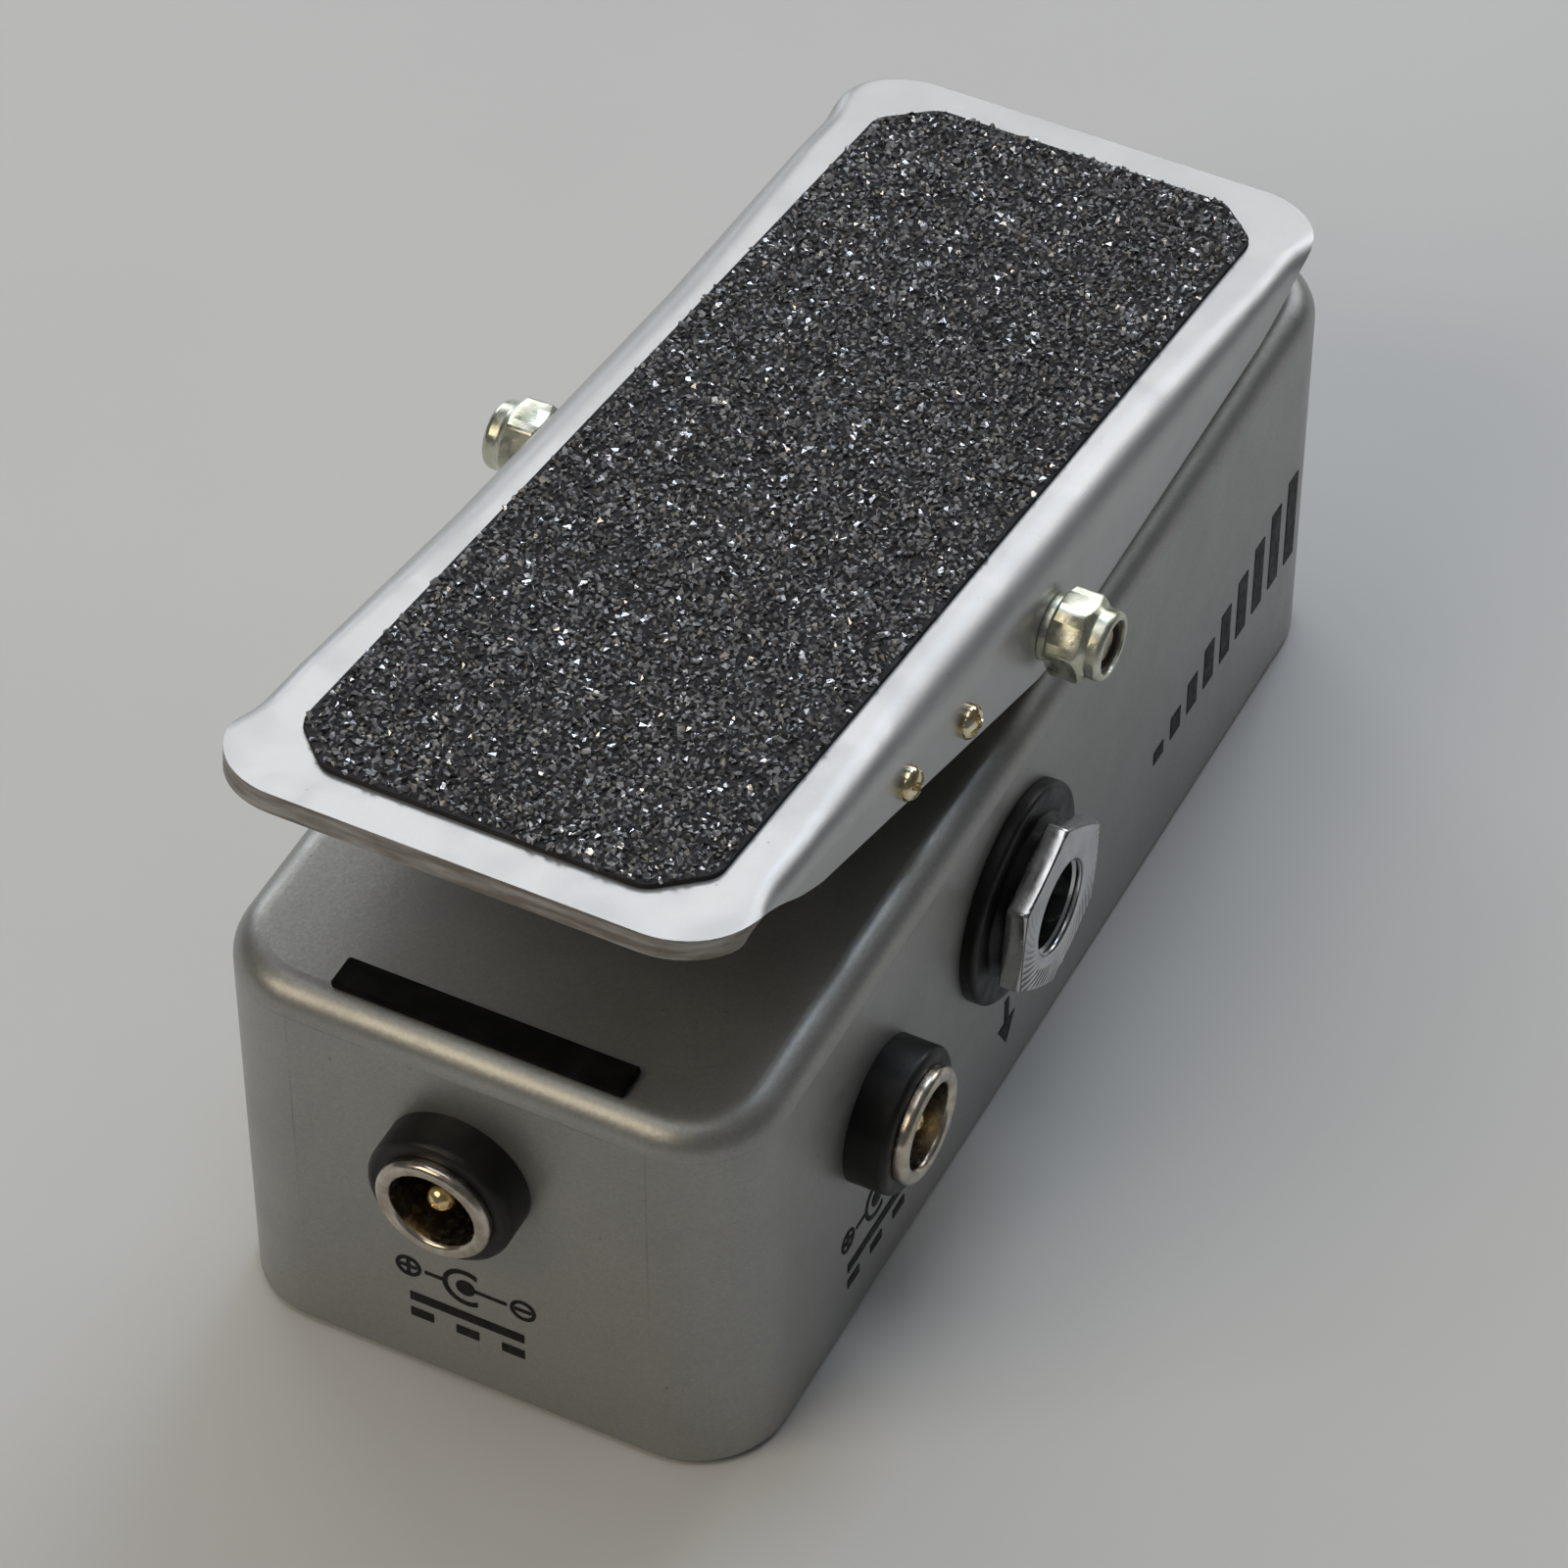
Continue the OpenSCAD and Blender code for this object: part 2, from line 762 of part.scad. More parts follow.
module jack_nut() {
    lip_t = 0.45;
    color([0.8, 0.8, 0.8])
        translate([0, 0, hub_t])
            rotate([0, 0, 22.4])
                difference() {
                    intersection() {
                        cylinder(r = jack_nut_corner_r, h = jack_nut_t, $fn = 6);
                        cylinder(r1 = jack_nut_corner_r + 1.6, r2 = jack_nut_corner_r - 0.1, h = jack_nut_t);
                    }
                    translate([0, 0, -1]) cylinder(r = thread_r, h = 1 + jack_nut_t - lip_t);
                    cylinder(r = signal_bore_r + 0.1, h = jack_nut_t + 1);
                }
}

module jack_bushing() {
    color([0.78, 0.78, 0.76])
        difference() {
            union() {
                translate([0, 0, -wall]) cylinder(r = thread_r, h = wall + hub_t + jack_nut_t - 0.5);
                translate([0, 0, -wall - flange_t - 4]) cylinder(r = inner_tube_r, h = flange_t + 4);
            }
            translate([0, 0, -10]) cylinder(r = signal_bore_r, h = 20);
        }
}

// L frame of the open jack: a flange round the bushing and a leg that carries the springs
module jack_frame() {
    leg_w = 6.4;
    leg_t = 0.9;
    leg_y = -flange_r + leg_t / 2;
    color([0.74, 0.74, 0.7])
        difference() {
            union() {
                translate([0, 0, -wall - flange_t]) cylinder(r = flange_r, h = flange_t);
                translate([-leg_w / 2, leg_y - 0.9 - leg_t / 2, jack_back])
                    cube([leg_w, leg_t, -wall - jack_back]);
                translate([-leg_w / 2, leg_y - 0.9 - leg_t / 2, -wall - flange_t]) cube([leg_w, 3, flange_t]);
            }
            translate([0, 0, -10]) cylinder(r = inner_tube_r + 0.03, h = 20);
        }
}

module jack_stack() {
    color([0.12, 0.12, 0.13])
        translate([-2.8, -flange_r, jack_back]) cube([5.6, 2.4, 5.6]);
}

// Tip spring: a bent strip that runs from the stack towards the bushing and back to the plug's axis
module jack_spring() {
    stack_top = -flange_r + 2.4;
    t = 0.35;
    path = [[jack_back, stack_top], [jack_back + 6.5, stack_top], [-11, 2.2], [-9.8, 1.0], [-8.8, 2.4]];
    color([0.85, 0.75, 0.5])
        rotate([0, -90, 0])
            translate([0, 0, -1.6])
                linear_extrude(3.2)
                    for (i = [0:len(path) - 2]) {
                        a = path[i];
                        b = path[i + 1];
                        polygon([a, b, [b[0], b[1] + t], [a[0], a[1] + t]]);
                    }
}

module at_output() {
    translate([half_w, out_y, signal_z]) rotate([90, 0, 90]) children();
}

module at_input() {
    translate([-half_w, in_y, signal_z]) rotate([90, 0, -90]) children();
}

module output_ring() {
    at_output() jack_ring();
}

module output_nut() {
    at_output() jack_nut();
}

module output_bushing() {
    at_output() jack_bushing();
}

module output_frame() {
    at_output() jack_frame();
}

module output_stack() {
    at_output() jack_stack();
}

module output_spring() {
    at_output() jack_spring();
}

module input_ring() {
    at_input() jack_ring();
}

module input_nut() {
    at_input() jack_nut();
}

module input_bushing() {
    at_input() jack_bushing();
}

module input_frame() {
    at_input() jack_frame();
}

module input_stack() {
    at_input() jack_stack();
}

module input_spring() {
    at_input() jack_spring();
}

// ---- power jacks, on +Z ----

module dc_body() {
    chamfer = 0.4;
    color([0.06, 0.06, 0.06])
        difference() {
            union() {
                cylinder(r = collar_r, h = collar_t - chamfer, $fn = ROUND);
                translate([0, 0, collar_t - chamfer])
                    cylinder(r1 = collar_r, r2 = collar_r - chamfer, h = chamfer, $fn = ROUND);
                translate([0, 0, dc_back]) cylinder(r = barrel_r, h = -dc_back);
            }
            translate([0, 0, dc_floor]) cylinder(r = sleeve_r + 0.02, h = 20);
        }
}

module dc_sleeve() {
    soft = 0.25;
    color([0.82, 0.81, 0.78])
        difference() {
            union() {
                translate([0, 0, dc_floor + 0.2]) cylinder(r = sleeve_r, h = collar_t - dc_floor - 0.1);
                translate([0, 0, collar_t]) cylinder(r = rim_r, h = rim_t - soft);
                translate([0, 0, collar_t + rim_t - soft]) cylinder(r1 = rim_r, r2 = rim_r - soft, h = soft);
            }
            translate([0, 0, dc_floor]) cylinder(r = sleeve_bore_r, h = 20);
        }
}

module dc_pin() {
    color([0.86, 0.76, 0.5]) {
        translate([0, 0, dc_floor]) cylinder(r = pin_r, h = 10.6);
        translate([0, 0, dc_floor + 10.6]) sphere(pin_r);
    }
}

module dc_nut() {
    nut_t = 2.0;
    color([0.1, 0.1, 0.1])
        translate([0, 0, -wall - nut_t])
            difference() {
                cylinder(r = 6.2, h = nut_t, $fn = 6);
                translate([0, 0, -1]) cylinder(r = barrel_r, h = nut_t + 2);
            }
}

module dc_tabs() {
    color([0.85, 0.83, 0.75])
        for (i = [-1:1])
            translate([i * 2.6 - 0.8, i * i * 0.9 - 0.2, dc_back - 3])
                cube([1.6, 0.4, 3]);
}

module at_dc_in() {
    translate([dc_in_x, -half_l, dc_in_z]) rotate([90, 0, 0]) children();
}

module at_dc_out() {
    translate([half_w, dc_out_y, dc_out_z]) rotate([90, 0, 90]) children();
}

module dc_in_body() {
    at_dc_in() dc_body();
}

module dc_in_sleeve() {
    at_dc_in() dc_sleeve();
}

module dc_in_pin() {
    at_dc_in() dc_pin();
}

module dc_in_nut() {
    at_dc_in() dc_nut();
}

module dc_in_tabs() {
    at_dc_in() dc_tabs();
}

module dc_out_body() {
    at_dc_out() dc_body();
}

module dc_out_sleeve() {
    at_dc_out() dc_sleeve();
}

module dc_out_pin() {
    at_dc_out() dc_pin();
}

module dc_out_nut() {
    at_dc_out() dc_nut();
}

module dc_out_tabs() {
    at_dc_out() dc_tabs();
}

// ---- electronics ----

module circuit_board() {
    color([0.1, 0.35, 0.2])
        translate([0, board_y, board_z])
            linear_extrude(board_t)
                difference() {
                    rounded_rect(board_w, board_l, 1);
                    for (p = post_xy)
                        translate([p[0], p[1] - board_y]) circle(board_screw_r + 0.15);
                }
}

module board_screws() {
    color([0.75, 0.75, 0.72])
        for (p = post_xy)
            translate([p[0], p[1], board_z]) rotate([180, 0, 0]) pan_screw(1.9, 1.2, board_screw_r, 7);
}

// Two eight-leg amplifier chips under the board
module chips() {
    for (x = [-5, 4.6])
        translate([x, 27, board_z]) {
            color([0.08, 0.08, 0.09]) translate([-3, -4.6, -3.6]) cube([6, 9.2, 3.2]);
            color([0.8, 0.8, 0.78])
                for (sx = [-1, 1], i = [-1.5:1:1.5])
                    translate([sx * 3.25 - 0.25, i * 2.2 - 0.25, -3]) cube([0.5, 0.5, 3]);
        }
}

module electrolytic_caps() {
    color([0.15, 0.2, 0.4])
        for (p = [[-11.2, 27.6], [-11.2, 33.4], [-4.8, 34.6]])
            translate([p[0], p[1], board_z - 7]) cylinder(r = 2.5, h = 7);
}

module film_caps() {
    color([0.7, 0.25, 0.15])
        for (x = [2, 5.4])
            translate([x, 32.2, board_z - 6]) cube([2.2, 5.2, 6]);
}

module resistors() {
    color([0.75, 0.65, 0.5])
        for (i = [0:4])
            translate([-5 + i * 3.1, 18.3, board_z - 1]) rotate([-90, 0, 0]) cylinder(r = 1, h = 3.4);
}

module level_trimmer() {
    color([0.2, 0.4, 0.7])
        translate([9.2, 24, board_z - 4.2])
            difference() {
                cube([5, 5, 4.2]);
                translate([2.5, 2.5, -0.1]) cylinder(r = 1.1, h = 0.7);
                translate([1.2, 2.2, -0.1]) cube([2.6, 0.6, 1.1]);
            }
}

function unit(v) = v / norm(v);

// Points of a soft bend round b, which starts at most k before it and ends at most k after it
function soft_bend(a, b, c, k) =
    let (p = b + unit(a - b) * min(k, norm(a - b) / 2.2), q = b + unit(c - b) * min(k, norm(c - b) / 2.2))
    [for (i = [0:3]) let (t = i / 3) p * (1 - t) * (1 - t) + 2 * b * t * (1 - t) + q * t * t];

function soft_route(p, k) =
    concat([p[0]], [for (i = [1:len(p) - 2]) each soft_bend(p[i - 1], p[i], p[i + 1], k)], [p[len(p) - 1]]);

function heading(p, i) =
    i == 0 ? unit(p[1] - p[0])
    : i == len(p) - 1 ? unit(p[i] - p[i - 1])
    : unit(unit(p[i + 1] - p[i]) + unit(p[i] - p[i - 1]));

// One insulated wire, swept along a list of points with soft bends
module wire(points) {
    sides = 8;
    side = [0.31, 0.53, 0.79];
    p = soft_route(points, wire_bend);
    rings = [for (i = [0:len(p) - 1])
        let (t = heading(p, i), u = unit(cross(t, side)), w = cross(t, u))
        for (j = [0:sides - 1])
            p[i] + wire_r * (cos(360 * j / sides) * u + sin(360 * j / sides) * w)];
    walls = [for (i = [0:len(p) - 2], j = [0:sides - 1])
        let (a = i * sides + j, b = i * sides + (j + 1) % sides)
        each [[a, b + sides, b], [a, a + sides, b + sides]]];
    first_cap = [for (j = [0:sides - 1]) j];
    last_cap = [for (j = [sides - 1:-1:0]) (len(p) - 1) * sides + j];
    polyhedron(rings, concat([first_cap], walls, [last_cap]));
}

module hookup_wires() {
    color([0.65, 0.12, 0.1])
        wire([[-3.2, -31.7, 22.4], [-3.2, -29.5, 22.4], [-13.4, -24, 10.5], [-13.4, 25, 10.5],
            [-13.4, 25, board_z]]);
    color([0.1, 0.1, 0.1])
        wire([[2, -31.7, 22.4], [2, -28.5, 22.4], [-11.6, -22, 9], [-11.6, 23.4, 9],
            [-11.6, 23.4, board_z]]);
    color([0.85, 0.85, 0.82])
        wire([[1.4, pot_y, 18.4], [1.4, pot_y, 16], [-9.8, -16, 11.5], [-9.8, 17.6, 11.5],
            [-9.8, 17.6, board_z]]);
    color([0.85, 0.7, 0.15])
        wire([[-2.75, out_y, 16.8], [-4.5, out_y, 16.8], [-8.2, 0, 11.5], [-8.2, 17.4, 11.5],
            [-8.2, 17.4, board_z]]);
    color([0.15, 0.5, 0.25])
        wire([[2.75, in_y, 16.8], [4.5, in_y, 16.8], [4.5, 14, 13], [4.5, 17.3, 13],
            [4.5, 17.3, board_z]]);
}

// ---- generic marks ----

// Places a flat mark on the output side, on the input side, or on the near end
module on_output_side(y, z) {
    translate([half_w, y, z]) rotate([90, 0, 90]) linear_extrude(ink_t) children();
}

module on_input_side(y, z) {
    translate([-half_w, y, z]) rotate([90, 0, -90]) linear_extrude(ink_t) children();
}

module on_near_end(x, z) {
    translate([x, -half_l, z]) rotate([90, 0, 0]) linear_extrude(ink_t) children();
}

module printed_marks() {
    color([0.08, 0.08, 0.08]) {
        on_near_end(dc_in_x, polarity_z) power_mark();
        on_output_side(dc_out_y, polarity_z - 1) power_mark();
        on_output_side(out_y, arrow_z) mirror([0, 1]) arrow_mark();
        on_input_side(in_y, arrow_z) arrow_mark();
        on_output_side(ramp_y, ramp_z) ramp_mark();
    }
}

// Polarity sign over the direct-current sign
module power_mark() {
    polarity_mark();
    translate([0, -direct_drop]) direct_mark();
}

// Direct current: a bar over three dashes
module direct_mark() {
    dash = direct_w / 5;
    translate([-direct_w / 2, direct_t / 2]) square([direct_w, direct_t]);
    for (i = [-1:1])
        translate([(2 * i - 0.5) * dash, -direct_t * 1.5]) square([dash, direct_t]);
}

// Centre-negative sign: plus in a ring, a cup round a dot, minus in a ring
module polarity_mark() {
    line = 0.28;
    for (s = [-1, 1])
        translate([s * mark_reach, 0]) {
            difference() {
                circle(mark_ring_r);
                circle(mark_ring_r - line);
            }
            square([1.2, line], center = true);
            if (s < 0)
                square([line, 1.2], center = true);
        }
    lead = mark_reach - mark_ring_r - mark_gap;
    translate([-lead, -line / 2]) square([lead - mark_cup_r + line, line]);
    translate([mark_dot_r - line, -line / 2]) square([lead - mark_dot_r + line, line]);
    circle(mark_dot_r);
    difference() {
        circle(mark_cup_r);
        circle(mark_cup_r - line * 1.3);
        translate([mark_cup_r * 0.5, -mark_cup_r]) square(2 * mark_cup_r);
    }
}

// Arrow along +Y: up into the input socket, mirrored to point away from the output socket
module arrow_mark() {
    polygon([[-1.3, 0], [1.3, 0], [0, 2.2]]);
    translate([-0.3, -2.2]) square([0.6, 2.3]);
}

// Rising bars: louder towards the far end
module ramp_mark() {
    for (i = [0:ramp_n - 1])
        translate([i * ramp_step, 0]) square([ramp_bar, ramp_low + i * ramp_rise]);
}

sole();
bottom_cover();
cover_screws();
case();
near_strip();
far_strip();
pivot_bracket();
bracket_screws();
axle_bushes();
treadle_plate();
grip_pad();
treadle_stops();
axle();
axle_nuts();
axle_washers();
axle_spacers();
sector_rack();
rack_screws();
pinion();
pot_shaft();
pot_bracket();
pot_bracket_screws();
pot_body();
pot_nut();
pot_tabs();
output_ring();
output_nut();
output_bushing();
output_frame();
output_stack();
output_spring();
input_ring();
input_nut();
input_bushing();
input_frame();
input_stack();
input_spring();
dc_in_body();
dc_in_sleeve();
dc_in_pin();
dc_in_nut();
dc_in_tabs();
dc_out_body();
dc_out_sleeve();
dc_out_pin();
dc_out_nut();
dc_out_tabs();
circuit_board();
board_screws();
chips();
electrolytic_caps();
film_caps();
resistors();
level_trimmer();
hookup_wires();
printed_marks();
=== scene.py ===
"""Looks of a small volume pedal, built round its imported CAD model. Lengths are in millimetres
until a mesh or an object is made, and then in metres."""

import json
import math

import bmesh
import bpy
import numpy as np
from mathutils import Matrix, Vector

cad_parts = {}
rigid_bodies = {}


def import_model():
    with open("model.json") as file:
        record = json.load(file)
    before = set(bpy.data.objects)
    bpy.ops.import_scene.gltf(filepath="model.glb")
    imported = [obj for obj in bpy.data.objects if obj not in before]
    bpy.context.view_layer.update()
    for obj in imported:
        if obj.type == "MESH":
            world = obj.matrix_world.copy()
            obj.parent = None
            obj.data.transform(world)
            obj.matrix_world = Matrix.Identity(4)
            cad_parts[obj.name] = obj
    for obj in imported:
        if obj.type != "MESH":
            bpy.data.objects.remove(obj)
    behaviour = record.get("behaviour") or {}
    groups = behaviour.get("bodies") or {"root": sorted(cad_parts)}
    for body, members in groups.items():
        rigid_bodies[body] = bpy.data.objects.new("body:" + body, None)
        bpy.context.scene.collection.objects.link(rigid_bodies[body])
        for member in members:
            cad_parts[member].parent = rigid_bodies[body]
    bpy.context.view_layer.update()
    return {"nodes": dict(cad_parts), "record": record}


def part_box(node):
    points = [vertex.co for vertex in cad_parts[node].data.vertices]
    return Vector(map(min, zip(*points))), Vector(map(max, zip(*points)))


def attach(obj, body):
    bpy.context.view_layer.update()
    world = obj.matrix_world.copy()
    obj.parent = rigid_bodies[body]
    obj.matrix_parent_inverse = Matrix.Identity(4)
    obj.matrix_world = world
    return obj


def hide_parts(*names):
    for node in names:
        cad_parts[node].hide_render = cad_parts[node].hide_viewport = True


for leftover in list(bpy.data.objects):
    bpy.data.objects.remove(leftover)

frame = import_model()

MM = 0.001
SEED = 20
rng = np.random.default_rng(SEED)

# ---- places taken from the CAD frame ----


def box_mm(node):
    """Lowest and highest corner of a CAD node, in millimetres."""
    low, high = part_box(node)
    return low / MM, high / MM


def centre_mm(node):
    """Middle of a CAD node's box, in millimetres."""
    low, high = box_mm(node)
    return (low + high) / 2


HALF_W, HALF_L, CASE_TOP = box_mm("case")[1]
# Radii of the case: its upright corners and its top edge
CORNER_R, EDGE_R = 6.5, 2.2
AXLE_Z = centre_mm("axle").z
# The faint seams on the case's end stop this far above the floor
SEAM_LOW = AXLE_Z / 3
# The treadle at rest, far end down
REST_TILT = math.radians(-8.8)


def on_wall(origin, out, right):
    """Matrix whose +Z points out of a wall and whose +X points along right."""
    z = Vector(out)
    x = Vector(right)
    y = z.cross(x)
    turn = Matrix((x, y, z)).transposed().to_4x4()
    return Matrix.Translation(Vector(origin)) @ turn


OUT_AXIS = centre_mm("output_ring")
IN_AXIS = centre_mm("input_ring")
DC_IN_AXIS = centre_mm("dc_in_sleeve")
DC_OUT_AXIS = centre_mm("dc_out_sleeve")
AT_OUTPUT = on_wall((HALF_W, OUT_AXIS.y, OUT_AXIS.z), (1, 0, 0), (0, 1, 0))
AT_INPUT = on_wall((-HALF_W, IN_AXIS.y, IN_AXIS.z), (-1, 0, 0), (0, -1, 0))
AT_DC_IN = on_wall((DC_IN_AXIS.x, -HALF_L, DC_IN_AXIS.z), (0, -1, 0), (1, 0, 0))
AT_DC_OUT = on_wall((HALF_W, DC_OUT_AXIS.y, DC_OUT_AXIS.z), (1, 0, 0), (0, 1, 0))
# The treadle's own frame: x across, y along the sheet, z square to it, axle at the origin
ON_TREADLE = Matrix.Translation((0, 0, AXLE_Z)) @ Matrix.Rotation(REST_TILT, 4, "X")

# ---- procedural materials ----


class Look:
    """One Principled material whose textures are measured in millimetres on the object."""

    def __init__(self, name, color, metallic=0.0, roughness=0.5, **sockets):
        self.name = name
        self.material = bpy.data.materials.new(name)
        self.material.use_nodes = True
        self.tree = self.material.node_tree
        self.shader = self.tree.nodes["Principled BSDF"]
        self.set("Base Color", (*color, 1))
        self.set("Metallic", metallic)
        self.set("Roughness", roughness)
        for key, value in sockets.items():
            self.set(key.replace("_", " "), value)
        coordinates = self.tree.nodes.new("ShaderNodeTexCoord")
        self.where = self.scaled(coordinates.outputs["Object"], (1 / MM,) * 3)
        self.relief = None

    def set(self, socket, value):
        self.shader.inputs[socket].default_value = value

    def link(self, source, target):
        self.tree.links.new(source, target)

    def scaled(self, vector, factors):
        node = self.tree.nodes.new("ShaderNodeVectorMath")
        node.operation = "MULTIPLY"
        self.link(vector, node.inputs[0])
        node.inputs[1].default_value = factors
        return node.outputs[0]

    def noise(self, size, detail=3.0, stretch=(1, 1, 1), warp=0.0):
        """Soft noise from 0 to 1 whose blobs are about size millimetres across."""
        node = self.tree.nodes.new("ShaderNodeTexNoise")
        node.inputs["Scale"].default_value = 1.0
        node.inputs["Detail"].default_value = detail
        node.inputs["Distortion"].default_value = warp
        self.link(self.scaled(self.where, [1 / (size * s) for s in stretch]), node.inputs["Vector"])
        return node.outputs["Fac"]

    def cells(self, size, output="Color"):
        """Random cells of about size millimetres: their colour, or the distance in them."""
        node = self.tree.nodes.new("ShaderNodeTexVoronoi")
        node.inputs["Scale"].default_value = 1.0
        self.link(self.scaled(self.where, (1 / size,) * 3), node.inputs["Vector"])
        return node.outputs[output]

    def axis(self, name):
        """One coordinate in millimetres."""
        node = self.tree.nodes.new("ShaderNodeSeparateXYZ")
        self.link(self.where, node.inputs[0])
        return node.outputs[name]

    def calc(self, operation, a, b=None):
        """A sum or a comparison of one or two numbers or sockets."""
        node = self.tree.nodes.new("ShaderNodeMath")
        node.operation = operation
        for slot, value in zip(node.inputs, (a, b)):
            if value is None:
                continue
            if isinstance(value, (int, float)):
                slot.default_value = value
            else:
                self.link(value, slot)
        return node.outputs[0]

    def remap(self, value, low, high, to_low=0.0, to_high=1.0, smooth=False):
        """A value from low to high spread over to_low to to_high, and held past both."""
        node = self.tree.nodes.new("ShaderNodeMapRange")
        if smooth:
            node.interpolation_type = "SMOOTHSTEP"
        self.link(value, node.inputs["Value"])
        for key, number in (
            ("From Min", low), ("From Max", high), ("To Min", to_low), ("To Max", to_high)
        ):
            node.inputs[key].default_value = number
        return node.outputs["Result"]

    def blend(self, factor, a, b, kind="MIX"):
        """Colour a where factor is 0 and b where it is 1. Each is a colour or a socket."""
        node = self.tree.nodes.new("ShaderNodeMix")
        node.data_type = "RGBA"
        node.blend_type = kind
        for slot, value in ((node.inputs[0], factor), (node.inputs[6], a), (node.inputs[7], b)):
            if isinstance(value, (int, float)):
                slot.default_value = value
            elif isinstance(value, tuple):
                slot.default_value = (*value, 1)
            else:
                self.link(value, slot)
        return node.outputs[2]

    def attribute(self, name):
        node = self.tree.nodes.new("ShaderNodeAttribute")
        node.attribute_name = name
        return node.outputs["Fac"]

    def color(self, socket):
        self.link(socket, self.shader.inputs["Base Color"])

    def roughness(self, socket):
        self.link(socket, self.shader.inputs["Roughness"])

    def flakes(self, size, amount):
        """Tips the normal of each tiny cell by a random amount, as metal flake does."""
        off = self.tree.nodes.new("ShaderNodeVectorMath")
        off.operation = "SUBTRACT"
        self.link(self.cells(size), off.inputs[0])
        off.inputs[1].default_value = (0.5,) * 3
        normal = self.tree.nodes.new("ShaderNodeNewGeometry").outputs["Normal"]
        tipped = self.tree.nodes.new("ShaderNodeVectorMath")
        tipped.operation = "MULTIPLY_ADD"
        self.link(off.outputs[0], tipped.inputs[0])
        tipped.inputs[1].default_value = (amount,) * 3
        self.link(normal, tipped.inputs[2])
        unit = self.tree.nodes.new("ShaderNodeVectorMath")
        unit.operation = "NORMALIZE"
        self.link(tipped.outputs[0], unit.inputs[0])
        self.relief = unit.outputs[0]
        self.link(self.relief, self.shader.inputs["Normal"])

    def bump(self, height, depth):
        """Adds relief, depth millimetres from 0 to 1, on top of what is there."""
        node = self.tree.nodes.new("ShaderNodeBump")
        node.inputs["Strength"].default_value = 1.0
        node.inputs["Distance"].default_value = depth * MM
        self.link(height, node.inputs["Height"])
        if self.relief is not None:
            self.link(self.relief, node.inputs["Normal"])
        self.relief = node.outputs["Normal"]
        self.link(self.relief, self.shader.inputs["Normal"])


def silver_paint(name, light, dark, roughness, flake, seams=False):
    """Silver flake paint: cloudy tone, orange peel, tiny flakes and a few smudges."""
    coat = {"Coat_Weight": 0.12, "Coat_Roughness": 0.3}
    look = Look(name, light, metallic=0.72, roughness=roughness, **coat)
    cloud = look.remap(look.noise(14, 4), 0.35, 0.65)
    tone = look.blend(cloud, dark, light)
    speck = look.remap(look.cells(0.16), 0.0, 1.0, 1 - 2 * flake, 1 + flake)
    tone = look.blend(1.0, tone, speck, "MULTIPLY")
    if seams:
        tone = look.blend(seam_lines(look), tone, tuple(0.62 * c for c in dark))
    scratch = look.remap(look.noise(1.2, 2, stretch=(9, 1, 5), warp=1.5), 0.75, 0.78)
    nick = look.remap(look.noise(0.8, 1), 0.8, 0.82)
    bare = tuple(min(1.0, 1.5 * c) for c in light)
    tone = look.blend(look.calc("MULTIPLY", scratch, 0.22), tone, bare)
    look.color(look.blend(look.calc("MULTIPLY", nick, 0.55), tone, tuple(0.3 * c for c in dark)))
    smudge = look.noise(6, 5, warp=0.8)
    look.roughness(look.remap(smudge, 0.42, 0.7, roughness - 0.04, roughness + 0.05))
    look.flakes(0.13, flake)
    look.bump(look.noise(0.55, 2), 0.08 * flake)
    return look


def seam_lines(look):
    """1 on the faint lines where the case's flat faces run into its roundings, else 0."""
    lines = None
    edge = HALF_W - CORNER_R
    for axis, place in (("Z", CASE_TOP - EDGE_R), ("X", edge), ("X", -edge)):
        off = look.calc("ABSOLUTE", look.calc("SUBTRACT", look.axis(axis), place))
        line = look.remap(off, 0.03, 0.09, 1.0, 0.0, smooth=True)
        if axis == "X":
            high = look.calc("GREATER_THAN", look.axis("Z"), SEAM_LOW)
            line = look.calc("MULTIPLY", line, high)
            along = look.calc("ABSOLUTE", look.axis("Y"))
            on_end = look.calc("GREATER_THAN", along, HALF_L - 0.05)
            line = look.calc("MULTIPLY", line, on_end)
        lines = line if lines is None else look.calc("MAXIMUM", lines, line)
    broken = look.remap(look.noise(5, 3), 0.45, 0.6, 0.1, 0.5)
    return look.calc("MULTIPLY", lines, broken)


def plated(name, light, dark, roughness, brush=0.0, size=0.5):
    """Plated metal: tone and gloss vary in soft patches, with a fine crystalline grain."""
    look = Look(name, light, metallic=1.0, roughness=roughness)
    patch = look.remap(look.noise(size * 2.2, 4, warp=0.6), 0.35, 0.65)
    look.color(look.blend(patch, dark, light))
    look.roughness(look.remap(look.noise(size, 5), 0.3, 0.7, roughness * 0.65, roughness * 1.5))
    look.bump(look.noise(size * 0.5, 3), 0.006 + brush)
    return look


def moulded(name, color, roughness, grain=0.3, depth=0.01, specular=0.5):
    """Moulded plastic or rubber: a fine spark-eroded grain, faint dust and uneven gloss."""
    look = Look(name, color, roughness=roughness, Specular_IOR_Level=specular)
    pale = tuple(min(1.0, c * 1.7 + 0.006) for c in color)
    look.color(look.blend(look.remap(look.noise(2.5, 6), 0.45, 0.8), color, pale))
    look.roughness(look.remap(look.noise(1.2, 4), 0.3, 0.7, roughness - 0.08, roughness + 0.1))
    look.bump(look.noise(grain, 3), depth)
    return look


